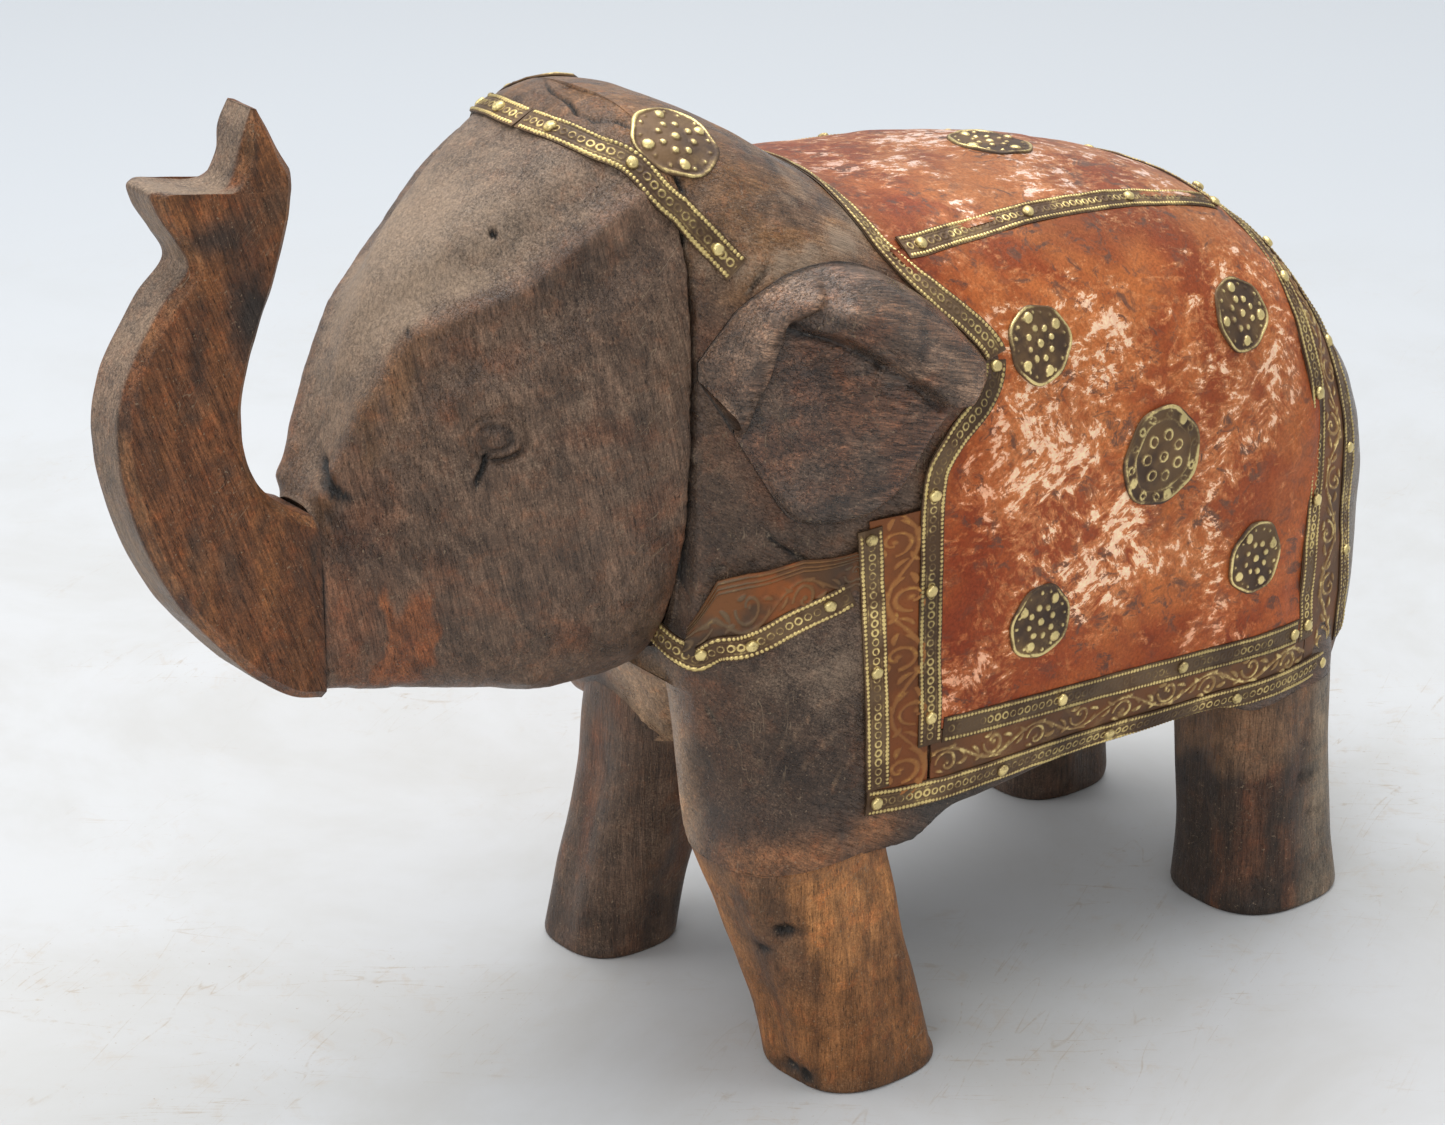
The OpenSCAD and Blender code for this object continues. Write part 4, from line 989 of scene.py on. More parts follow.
def build_ear(side):
    nu, nv = 168, 150
    U, V = np.meshgrid(np.linspace(0, 1, nu), np.linspace(0, 1, nv), indexing="ij")
    X = EAR_FRONT_X + (EAR_BACK_X - EAR_FRONT_X) * U
    Z = smooth(EAR, X, 1) + (smooth(EAR, X, 2) - smooth(EAR, X, 1)) * V
    wood_y = skin(BODY, X, angle_at_z(BODY, X, Z))[..., 1]
    flat = np.stack([X, 0 * X, Z], -1)
    wobble = flat + 0.9 * np.stack([noise(flat, 9, 61), 0 * X, noise(flat, 9, 62)], -1)
    fold, _ = line_distance(wobble, EAR_FOLD)
    chain = np.array(EAR_FOLD)
    inside = wobble[..., 2] < np.interp(wobble[..., 0], chain[:, 0], chain[:, 2])
    sd = np.where(inside, fold, -fold)
    valley, _ = line_distance(wobble, EAR_VALLEY)
    base_face = smooth(EAR, X, 3)
    flap = (3.8 - 2.2 * step(X, -18, 4)) * bell(sd + 6.0, 4.2)
    depth = np.clip(base_face - wood_y - 0.9, 0.5, 5.2 - 2.0 * step(X, -27, -18))
    floor_drop = -depth * step(sd, -1.4, 1.0) * bell(np.maximum(sd, 0), 15)
    relief = flap + floor_drop - 3.6 * bell(valley, 2.5) * (1 - inside)
    relief = relief - 0.8 * bell(sd - 0.9, 0.7) + 1.2 * near(flat, (-30, 0, 158), (10, 1, 5))
    relief = relief + 0.4 * noise(flat, 11, 63) + 0.14 * noise(flat, 4, 64)
    height = smooth(EAR, X, 2) - smooth(EAR, X, 1)
    low_rim = np.minimum(V * height, (1 - U) * 56) + 30 * step(-X, 44, 49) * step(Z, 177, 184)
    drop = 4.2 * (1 - quarter_round(low_rim, 4.5))
    face = base_face - 0.3 + relief - drop
    top = quarter_round((1 - V) * height, np.minimum(10, height * 0.42))
    lead = quarter_round(U * 68 + 30 * (1 - step(Z, 176, 183)), 8.0)
    profile = np.minimum(top, lead)
    outer = wood_y + 0.7 + (face - wood_y - 0.7) * profile
    outer = np.clip(np.maximum(outer, wood_y + 0.7), 0, EAR_WIDEST)
    over_peg = np.hypot(X - EAR_PEG_X, Z - EAR_PEG_Z) < EAR_PEG_RADIUS
    outer = np.maximum(outer, EAR_OVER_PEG * over_peg)
    inner = np.minimum(wood_y + 0.25, outer - 0.3)
    front = mirrored(np.stack([X, outer, Z], -1), side)
    back = mirrored(np.stack([X, inner, Z], -1), side)
    c = np.broadcast_to(DARK * 0.95, flat.shape).copy()
    lean = np.where(inside, 0.12, -0.5)
    across = Z - lean * X
    along = X + lean * Z
    across = np.where(X < -40, X * 0.8 + 0.2 * Z, across)
    q = np.stack([along, 0 * X, across], -1)
    grain = fractal(q, (16, 10, 1.5), 65, 3)
    c = coats(
        c,
        (RED * 0.95, 0.7 * step(fractal(flat, (14, 9, 9), 66), -0.25, 0.35)),
        ([0.22, 0.13, 0.08], 0.8 * bell(sd + 7, 4.5) * step(fractal(flat, 8, 67), -0.6, 0.2)),
        (DARK * 0.5, 0.6 * step(fractal(flat, 10, 69), 0.0, 0.5)),
    )
    c = c * (1 + 0.55 * grain)[..., None]
    # The fold under the flap, the valley and a spot on the lower edge are painted black: painted shade in the
    # crease and along the ear's lower edge.
    dark = 0.95 * bell(sd - 1.0, 1.0) * (0.55 + 0.45 * near(flat, (-34, 0, 200), (16, 1, 12)))
    dark = dark + 0.3 * bell(valley, 1.4) * (1 - inside)
    c = coats(
        c,
        (BLACK, np.clip(dark, 0, 1)),
        (BLACK * 1.6, 0.7 * near(flat, (-33, 0, 153), (6, 1, 4))),
    )
    join = 1 - step(np.minimum(top, lead + (Z < 180)), 0.2, 0.7)
    dust = -0.05 + 0.22 * fractal(flat, 11, 68) + 0.35 * join * step(fractal(flat, 6, 70), -0.2, 0.4)
    paint = with_dust(c, dust * (1 - dark))
    points = np.concatenate([front.reshape(-1, 3), back.reshape(-1, 3)])
    # The ear's back against the body is black, so the edge wall darkens towards the body: painted shade where
    # the ear meets it.
    hidden = np.broadcast_to(np.append(BLACK, 0.0), (nu * nv, 4))
    colours = np.concatenate([paint.reshape(-1, 4), hidden])
    under = nu * nv
    quads = [grid_faces(nu, nv, False, side > 0), grid_faces(nu, nv, False, side < 0) + under]
    edge = rim_of(nu, nv)
    after = np.roll(edge, -1)
    wall = np.stack([edge, after, after + under, edge + under], -1)
    quads.append(wall if side > 0 else wall[:, ::-1])
    name = "ear_left" if side < 0 else "ear_right"
    ear = make_mesh(name + "_carved", points, np.concatenate(quads), (), colours)
    finish_piece(ear, [name], wood_ear)


# ---------------------------------------------------------------- legs
# chips and dents of each leg: where, how large, how deep
LEG_MARKS = {
    "leg_front_left": [((-40, -56, 46.5), (3.6, 5, 1.8), 3.6), ((-41, -48, 39), (1.2, 5, 2.4), 2.4),
                       ((-32, -50, 3), (2, 8, 3), 2.4), ((-10, -62, 47), (3, 4, 1.4), 0.9)],
    "leg_rear_left": [((134.5, -60.5, 37), (4.5, 4, 1.5), 1.4), ((138, -60.5, 26), (3, 4, 1.2), 1.0)],
    "leg_front_right": [((-27, 31, 30), (2, 3, 4), 0.8)],
    "leg_rear_right": [],
}


def build_leg(name, rows, shader):
    table = np.array(rows, float)
    around, steps = 260, 78
    z = np.concatenate([[0, 0, 0.4, 0.9, 1.7], np.linspace(2.6, JOINT_Z, steps)])
    a = 360 * np.arange(around) / around
    Z, A = np.meshgrid(z, a, indexing="ij")
    ca, sa = np.cos(np.radians(A)), np.sin(np.radians(A))
    r = (np.abs(ca) ** LEG_ROUNDNESS + np.abs(sa) ** LEG_ROUNDNESS) ** (-1 / LEG_ROUNDNESS)
    rim = np.where(Z < 2.6, 1 - 0.05 * (1 - np.sqrt(np.clip(1 - (1 - Z / 2.6) ** 2, 0, 1))), 1)
    rim[0] *= 0.6
    p = np.stack([smooth(table, Z, 1) + smooth(table, Z, 3) * r * ca * rim,
                  smooth(table, Z, 2) + smooth(table, Z, 4) * r * sa * rim, Z], -1)
    n = np.stack([ca, sa, 0 * ca], -1)
    cut = np.zeros(Z.shape)
    for centre, size, depth in LEG_MARKS[name]:
        cut = np.maximum(cut, depth * near(p, centre, size) * (0.7 + 0.5 * noise(p, 2.2, 71)))
    fade = step(Z, 0, 5) * (1 - step(Z, 50, 61))
    move = (0.5 * noise(p, (16, 16, 24), 72) + 0.25 * noise(p, (6, 6, 12), 73) - 0.35) * fade - cut
    facets = 0.5 * np.cos(np.radians(A * 7 + 40 * noise(p, 30, 74))) * fade
    p = p + n * (move + facets)[..., None]
    p[..., 2] = Z + (underside(p[..., 0], p[..., 1]) - JOINT_Z + 0.6) * step(Z, 48, JOINT_Z)
    seam = np.zeros(Z.shape)
    if name == "leg_front_left":
        c = np.broadcast_to([0.21, 0.085, 0.027], p.shape).copy()
        c = coats(
            c,
            ([0.4, 0.17, 0.055], step(fractal(p, (9, 9, 26), 81), -0.4, 0.3) * step(Z, 24, 46)),
            ([0.12, 0.05, 0.018], 0.6 * step(fractal(p, (3.5, 3.5, 26), 82), 0.05, 0.5)),
        )
        top = step(Z + 3.0 * noise(p, 9, 83) + 0.1 * (p[..., 0] + 25), 56.5, 60.5)
        c = coats(
            c,
            ([0.3, 0.13, 0.05], top * 0.6),
            (BLACK * 3, 0.6 * step(A, 150, 175) * (1 - step(A, 222, 240)) * step(Z, 20, 40)),
            ([0.1, 0.048, 0.02], 0.6 * (1 - step(Z, 1, 7))),
        )
        dust = 0.05 + 0.25 * fractal(p, 10, 90)
        seam = 0.35 * bell(Z - 57.5 + 2 * noise(p, 12, 91), 0.35) * step(noise(p, 7, 92), -0.1, 0.2)
    elif name == "leg_rear_left":
        c = np.broadcast_to(DARK * 0.42, p.shape).copy()
        c = blend_colour(c, RED * 0.85, 0.75 * step(fractal(p, (8, 8, 20), 84), 0.0, 0.5))
        outward = 0.78 * (p[..., 0] - 134) - 0.62 * (p[..., 1] + 45) + 4 * noise(p, 11, 85)
        pale = step(outward, 6, 16) * (0.65 + 0.35 * step(Z, 18, 40))
        c = blend_colour(c, [0.22, 0.165, 0.11], 0.9 * pale)
        brown = step(Z + 5 * noise(p, 8, 86), 40, 47) * (1 - pale)
        c = blend_colour(c, [0.19, 0.1, 0.05], 0.85 * brown)
        pits = near(p, (138, -62, 54), (7, 6, 4)) * step(noise(p, 2.2, 95), 0.0, 0.3)
        c = blend_colour(c, BLACK * 2.5, 0.8 * pits)
        dust = 0.5 * pale + 0.25 * fractal(p, 9, 87) - 0.1
        seam = bell(Z - 60.5 + 0.5 * noise(p, 5, 93), 0.6) * (1 - step(p[..., 0], 116, 124))
    else:
        c = np.broadcast_to(DARK * 1.15, p.shape).copy()
        c = coats(
            c,
            (RED * 1.1, 0.7 * step(fractal(p, (8, 8, 24), 88), -0.15, 0.45)),
            (DARK * 0.5, 0.6 * (1 - step(Z, 8, 26))),
        )
        dust = 0.12 + 0.3 * fractal(p, 12, 94)
    streak = fractal(p, (1.8, 1.8, 26), 89, 3)
    c = c * (1 + 0.24 * streak)[..., None]
    # Dents and chips, and the rear left leg's crack at its joint, are painted dark: painted shade in these
    # recesses.
    c = blend_colour(c, BLACK * 1.2, np.clip(cut * 0.7 + seam, 0, 1))
    finish_piece(tube(name + "_carved", p, with_dust(c, dust)), [name], shader)


# ---------------------------------------------------------------- sheet metal laid on the wood
def line_x(c, a):
    return smooth(STRIP_LINES, np.where(a > 90, 180 - a, a), c)


def outer_z(x):
    return 75.3 - 0.057 * x


def inner_z(x):
    return 91.5 - 0.08 * x


def outer_front_x(a):
    return -19 - 0.083 * a


def top_y(x):
    return 43.5 - 0.118 * x


def run_along(p):
    """Length of a path from its start to each of its points."""
    return np.concatenate([[0], np.cumsum(np.linalg.norm(np.diff(p, axis=0), axis=1))])


def arc_resample(x, a):
    """A path of section points, spaced evenly along its length."""
    run = run_along(outer_surface(x, a)[0])
    s = np.linspace(0, run[-1], max(3, int(run[-1] / STRIP_STEP)))
    return np.interp(s, run, x), np.interp(s, run, a), s


def swept(p, n):
    """Points across a strip on each point of its path, from the path's points and their normals."""
    across = np.cross(n, np.gradient(p, axis=0))
    across /= np.linalg.norm(across, axis=1, keepdims=True)
    return p[:, None] + across[:, None] * STRIP_SWEEP[None, :, None]


def to_section(p):
    """x and section angle of points near the surface."""
    x = p[..., 0]
    zm = np.where(x < NECK_X, smooth(HEAD, np.minimum(x, NECK_X), 2), smooth(BODY, np.maximum(x, NECK_X), 2))
    return x, np.degrees(np.arctan2(p[..., 2] - zm, p[..., 1]))


def strip_height(s, t, seed):
    """Embossing of a strip at s along it and t across it: a row of beads by each edge and rings between."""
    row = STRIP_W / 2 - 0.75
    h = np.zeros(s.shape)
    for k, offset in enumerate((row, -row)):
        u = (s + 0.3 * k) / BEAD_PITCH
        d = np.hypot((u - np.round(u)) * BEAD_PITCH, t - offset)
        h = np.maximum(h, BEAD_HEIGHT * np.sqrt(np.clip(1 - (d / BEAD_RADIUS) ** 2, 0, 1)))
    u = s / RING_PITCH
    d = np.hypot((u - np.round(u)) * RING_PITCH, t)
    soft = 0.75 + 0.4 * noise(np.stack([s, 0 * s, 0 * s], -1), 9, seed)
    h = np.maximum(h, RING_HEIGHT * soft * bell(d - RING_RADIUS, 0.27))
    return np.maximum(h, 0.16 * bell(np.abs(t) - (row - 1.0), 0.16))


def rim_of(nu, nv):
    """Indices of a grid's outer points, once round."""
    return np.concatenate([
        np.arange(0, nv), np.arange(2 * nv - 1, nu * nv, nv), np.arange(nu * nv - 2, (nu - 1) * nv - 1, -1),
        np.arange((nu - 2) * nv, 0, -nv),
    ])


def shell_mesh(name, top, bottom, paint, relief):
    """A closed sheet from its upper and lower grids of points."""
    nu, nv = top.shape[:2]
    count = nu * nv
    edge = rim_of(nu, nv)
    after = np.roll(edge, -1)
    du, dv = top[1, 0] - top[0, 0], top[0, 1] - top[0, 0]
    upward = np.dot(np.cross(du, dv), top[0, 0] - bottom[0, 0]) > 0
    faces = grid_faces(nu, nv, False, False)
    wall = np.stack([edge, edge + count, after + count, after], -1)
    if not upward:
        faces, wall = faces[:, ::-1], wall[:, ::-1]
    points = np.concatenate([top.reshape(-1, 3), bottom.reshape(-1, 3)])
    quads = np.concatenate([faces, faces[:, ::-1] + count, wall])
    paint = paint.reshape(count, -1)
    paint = np.concatenate([paint, paint * HIDDEN_SHADE])
    relief = np.concatenate([relief.ravel(), np.zeros(count)])
    return make_mesh(name, points, quads, (), paint, relief)


def mirrored(p, side):
    return p if side > 0 else p * np.array([1, -1, 1])


def stamp_strip(name, side, base, normal, s, free_end, seed, lift=STRIP_LIFT, tone=0.82):
    """The strip's sheet on a grid of surface points, for lengths s and distances from its cut ends."""
    S, T = np.meshgrid(s, STRIP_SWEEP, indexing="ij")
    h = strip_height(S, T, seed) * step(free_end, 0.4, 1.2)[:, None]
    top = base + normal * (lift + h + 0.1 * noise(base, 7, 90 + seed))[..., None]
    bottom = base + normal * (lift - 0.45)
    wear = tone + 0.3 * noise(base, 16, 95 + seed) + 0.12 * noise(base, 5, 96)
    shade = np.clip(wear, 0.35, 1.25)[..., None] * np.ones(3)
    obj = shell_mesh(name + "_embossed", mirrored(top, side), mirrored(bottom, side), shade, h / BEAD_HEIGHT)
    finish_piece(obj, [name], brass)


def embossed_strip(name, x, a, side, seed, lift=STRIP_LIFT):
    """A strip along a path given for the right flank; side -1 puts it on the left."""
    x, a, s = arc_resample(np.asarray(x, float), np.asarray(a, float))
    base, normal = outer_surface(*to_section(swept(*outer_surface(x, a))))
    stamp_strip(name, side, base, normal, s, np.minimum(s, s[-1] - s), seed, lift)


# the collar strip's way round the corner of the chest: points, then their normals
COLLAR_CORNER = np.array([
    [-57.35, 24, 124, -1, 0, 0], [-57.4, 27.5, 122.7, -1, 0.03, 0], [-57.4, 31, 121.5, -0.98, 0.2, 0],
    [-57.2, 34.6, 120.3, -0.88, 0.47, 0], [-56.2, 37.6, 119.3, -0.62, 0.78, 0],
    [-54.2, 40.2, 118.1, -0.36, 0.93, -0.05],
])


def collar_strip(name, side):
    """The collar's strip: along the shoulder, round its front corner and on under the jaw."""
    x = np.linspace(-51.5, -22.6, 90)
    flank, flank_n = outer_surface(x, smooth(COLLAR, x, 1))
    path = np.vstack([COLLAR_CORNER[:, :3], flank])
    normal = np.vstack([COLLAR_CORNER[:, 3:], flank_n])
    run = run_along(path)
    s = np.linspace(0, run[-1], int(run[-1] / STRIP_STEP))
    p = np.stack([np.interp(s, run, path[:, k]) for k in range(3)], -1)
    n = np.stack([np.interp(s, run, normal[:, k]) for k in range(3)], -1)
    for _ in range(30):
        p[1:-1] = 0.5 * p[1:-1] + 0.25 * (p[2:] + p[:-2])
        n[1:-1] = 0.5 * n[1:-1] + 0.25 * (n[2:] + n[:-2])
    n /= np.linalg.norm(n, axis=1, keepdims=True)
    spread = swept(p, n)
    on_flank = step(p[:, 0], -52, -46)[:, None, None]
    X, A = to_section(spread)
    base, normals = outer_surface(np.maximum(X, NECK_X + 0.01), A)
    base = spread + (base - spread) * on_flank
    normals = n[:, None] + (normals - n[:, None]) * on_flank
    stamp_strip(name, side, base, normals, s, s[-1] - s, 8, tone=0.85)


SCROLL_PERIOD = 15.0
# leaves of one bend of the scroll: place along and across it, turn, length
LEAVES = [(-5.2, -0.5, 0.8, 2.0), (-4.2, 1.9, -0.5, 1.7), (5.0, 1.2, 2.4, 1.9), (5.4, -2.0, 0.3, 1.8),
          (2.0, 2.8, 0.1, 1.5), (-1.6, -3.2, 2.9, 1.5)]


def scroll_field(s, t, width):
    """Relief of leafy scrolls along a border: a wavy stem, a curl in each bend, and small leaves."""
    bend = s / SCROLL_PERIOD
    flip = np.where(np.floor(bend) % 2 == 0, 1.0, -1.0)
    x = (bend % 1.0 - 0.5) * SCROLL_PERIOD
    y = t * flip
    stem_y = width * 0.3 * np.sin(np.pi * bend) * flip
    h = 0.8 * bell(y - stem_y * 0.9, 0.5)
    cx, cy = 0.5, -width * 0.12
    r = np.hypot(x - cx, y - cy)
    angle = np.arctan2(y - cy, x - cx)
    h = np.maximum(h, 0.95 * bell(r - (0.9 + 0.42 * (angle + np.pi)), 0.42) * (r < width * 0.38))
    h = np.maximum(h, 0.9 * bell(r, 0.6))
    for lx, ly, turn, size in LEAVES:
        ax, ay = x - lx, y - ly
        lu = ax * math.cos(turn) + ay * math.sin(turn)
        lv = -ax * math.sin(turn) + ay * math.cos(turn) - 0.12 * lu * lu
        h = np.maximum(h, 0.9 * np.sqrt(np.clip(1 - (lu / size) ** 2 - (lv / 0.62) ** 2, 0, 1)))
    return h * step(width / 2 - np.abs(t), 0.2, 0.9)


def sheet_points(x0, x1, a0, a1, nu, nv):
    """A grid between two lines across the body and two angles, as in the CAD source."""
    u, v = np.meshgrid(np.linspace(0, 1, nu), np.linspace(0, 1, nv), indexing="ij")
    level = np.zeros(u.shape)
    x = x0(level) + (x1(level) - x0(level)) * u
    a = a0(x) + (a1(x) - a0(x)) * v
    x = x0(a) + (x1(a) - x0(a)) * u
    return x, a0(x) + (a1(x) - a0(x)) * v


def plain_sheet(name, x, a, side, shader, relief, seed, tone, rise=0.5):
    """A sheet over a grid of section points; copper has no embossing, so its rise is 0."""
    slot, (low, high) = ("copper", COPPER_LAYER) if shader == copper else ("aged_brass", BORDER_LAYER)
    base, normal = outer_surface(x, a)
    dents = 0.14 * noise(base, 12, 110 + seed) + 0.07 * noise(base, 5, 111 + seed)
    top = base + normal * (high + dents + relief * rise)[..., None]
    bottom = base + normal * low
    obj = shell_mesh(name + "_sheet", mirrored(top, side), mirrored(bottom, side), tone(base, normal), relief)
    finish_piece(obj, [name], shader)


def copper_wear(x, z, seed):
    """Where the copper is rubbed bright, 0 to 1: clusters over the middle of the panel."""
    flat = np.stack([x, 0 * x, z], -1)
    middle = np.exp(-(((x - 66) / 62) ** 2) - (((z - 142) / 46) ** 2))
    return np.clip(0.3 + 0.5 * middle + 0.5 * fractal(flat, 15, seed), 0, 1)


# x, section angle of the upper edge of the collar's band as it is drawn here
COLLAR_EDGE = np.array([[-57, -56], [-52, -43], [-46, -36], [-34, -24], [-21.5, -16]])


def collar_tone(base, normal):
    """Dark brown at the throat and along the upper edge, orange-brown between."""
    x = base[..., 0]
    orange = step(x, -47, -42) * (1 - step(x, -30, -24))
    shade = (1.0 + 0.3 * noise(base, 7, 122))[..., None]
    return np.clip(shade * (1 + orange[..., None] * np.array([0.9, 0.45, -0.05])), 0.3, 2.0)


def copper_tone(base, normal):
    """Darker and redder towards the flank's edges; where it faces up, darker and bluer: painted shade and
    sheen.
    """
    x, z = base[..., 0], base[..., 2]
    edge = np.maximum(1 - step(x, 8, 30), step(x, 116, 134))
    edge = np.maximum(edge, 1 - step(z, 90, 108))
    blotch = fractal(base, 20, 120)
    shade = 1.28 - 0.3 * edge + 0.2 * blotch
    warm = np.stack([shade, shade * (1 - 0.2 * edge), shade * (1 - 0.3 * edge)], -1)
    # Upward-facing copper is painted darker and bluer: painted shade with a cool painted sheen.
    up = step(normal[..., 2], 0.55, 0.9)[..., None]
    warm = warm * (1 + up * (np.array([0.72, 0.86, 1.08]) - 1))
    return np.clip(warm, 0.3, 1.5)


def border_tone(base, normal):
    front = (1 - step(base[..., 0], -2, 6))[..., None]
    shade = (0.95 + 0.3 * noise(base, 18, 121))[..., None]
    return np.clip(shade * (1 + front * np.array([0.35, 0.1, -0.1])), 0.3, 1.6)


def flank_angle(x, z):
    """Section angle of the body's flank at height z."""
    return angle_at_z(BODY, x, z)


def ridge_angle(x, inset=0.0):
    """Section angle of the top strip's line."""
    return angle_at_y(BODY, x, top_y(x) + inset)


def build_flank_sheets(side, tag):
    x, a = sheet_points(lambda a: line_x(1, a) + 0.2, lambda a: line_x(2, a) - 0.2,
                        lambda x: flank_angle(x, inner_z(x) + 0.2), lambda x: ridge_angle(x, 0.2), 150, 120)
    p, _ = outer_surface(x, a)
    wear = copper_wear(p[..., 0], p[..., 2], 123)
    plain_sheet("saddle_panel_" + tag, x, a, side, copper, wear, 1, copper_tone, 0.0)

    x, a = sheet_points(outer_front_x, lambda a: line_x(1, a) - 0.2,
                        lambda x: flank_angle(x, outer_z(x)), lambda x: flank_angle(x, EAR_HIDES_Z), 56, 230)
    p, _ = outer_surface(x, a)
    across = (x - x.min(0, keepdims=True)) - FRONT_BORDER_WIDTH / 2
    relief = scroll_field(p[..., 2] - p[..., 2].min(), across * 0.62, 11) * (np.abs(across) < 5.6)
    plain_sheet("front_border_" + tag, x, a, side, front_border_brass, relief, 2, border_tone)

    x, a = sheet_points(lambda a: 0.2 + 0 * a, lambda a: line_x(2, a) - 0.2,
                        lambda x: flank_angle(x, outer_z(x)),
                        lambda x: flank_angle(x, inner_z(x) - 0.2), 400, 52)
    p, _ = outer_surface(x, a)
    across = p[..., 2] - (outer_z(x) + inner_z(x)) / 2
    relief = scroll_field(x + 3, across, 10) * (np.abs(across) < 4.8)
    plain_sheet("bottom_border_" + tag, x, a, side, border, relief, 3, border_tone)


def build_flank_strips(side, tag):
    x = np.arange(outer_front_x(-55) - 3.3, 147, 0.8)
    embossed_strip("outer_bottom_strip_" + tag, x, flank_angle(x, outer_z(x)), side, 2)
    x = np.arange(3.5, 128.6, 0.8)
    embossed_strip("inner_bottom_strip_" + tag, x, flank_angle(x, inner_z(x)), side, 3)
    low = float(flank_angle(-14.5, outer_z(-14.5) + 3.6))
    a = np.linspace(low, float(flank_angle(-18.0, EAR_HIDES_Z - 2)), 120)
    embossed_strip("outer_front_strip_" + tag, outer_front_x(a), a, side, 4)
    a = np.linspace(float(flank_angle(0, inner_z(0) - STRIP_W / 2)), CORNER_ANGLE - 0.5, 200)
    embossed_strip("inner_front_strip_" + tag, line_x(1, a), a, side, 5)
    x = np.linspace(4, 118.5, 160)
    embossed_strip("top_strip_" + tag, x, ridge_angle(x), side, 6)
    a = np.linspace(40, 89.7, 140)
    lap = 0.6 if side > 0 else 0.75
    embossed_strip("forehead_strip_" + tag, smooth(FOREHEAD_LINE, a, 1), a, side, 7, lap)


def build_collar(side, tag):
    collar_strip("collar_strip_" + tag, side)
    x, a = sheet_points(lambda a: NECK_X + 0.2 + 0 * a, lambda a: outer_front_x(a) - 3.4,
                        lambda x: smooth(COLLAR, x, 1),
                        lambda x: np.interp(x, COLLAR_EDGE[:, 0], COLLAR_EDGE[:, 1]), 130, 90)
    v = np.linspace(0, 1, a.shape[1])[None, :]
    relief = 0.9 * scroll_field(x * 1.25 + 80, (v - 0.4) * 13, 11) * (v < 0.74) * (v > 0.12)
    for line in (0.79, 0.86, 0.95):
        relief = np.maximum(relief, 0.85 * bell(v - line, 0.022))
    plain_sheet("collar_band_" + tag, x, a, side, collar_brass, relief, 4, collar_tone)


def build_spanning():
    """Sheets and strips that cross the back from flank to flank."""
    x, a = sheet_points(lambda a: line_x(1, a), lambda a: line_x(2, a), lambda x: ridge_angle(x, -0.2),
                        lambda x: 180 - ridge_angle(x, -0.2), 140, 90)
    p, _ = outer_surface(x, a)
    wear = copper_wear(p[..., 0], 142 + 0.8 * p[..., 1], 124)
    plain_sheet("saddle_top_panel", x, a, 1, copper, wear, 5, copper_tone, 0.0)

    x, a = sheet_points(lambda a: line_x(2, a) + 0.2, lambda a: line_x(3, a),
                        lambda x: flank_angle(x, outer_z(x)),
                        lambda x: 180 - flank_angle(x, outer_z(x)), 60, 760)
    p, _ = outer_surface(x, a)
    across = (x - (line_x(2, a) + line_x(3, a)) / 2) * 1.05
    relief = scroll_field(run_along(p[30])[None, :] + 0 * x, across * 0.85, 10) * (np.abs(across) < 5.4)
    plain_sheet("rear_border", x, a, 1, border, relief, 6, border_tone)

    a = np.linspace(CORNER_ANGLE + 0.5, 180 - CORNER_ANGLE - 0.5, 400)
    embossed_strip("saddle_front_strip", line_x(1, a), a, 1, 9, 0.7)
    low = float(flank_angle(132.0, inner_z(132.0) - STRIP_W / 2))
    a = np.linspace(low, 180 - low, 700)
    embossed_strip("inner_rear_strip", line_x(2, a), a, 1, 10)
    low = float(flank_angle(151.0, outer_z(151.0) + STRIP_W / 2 + 0.4))
    a = np.linspace(low, 180 - low, 700)
    embossed_strip("outer_rear_strip", line_x(3, a), a, 1, 11)


# ---------------------------------------------------------------- rosettes and tacks
def disc_frame(x, a, side):
    p, n = outer_surface(np.array([x]), np.array([a]))
    p, n = mirrored(p[0], side), mirrored(n[0], side)
    up = np.array([0, 0, 1.0]) if abs(n[2]) < 0.8 else np.array([1.0, 0, 0])
    east = np.cross(up, n)
    east /= np.linalg.norm(east)
    return p, n, east, np.cross(n, east)


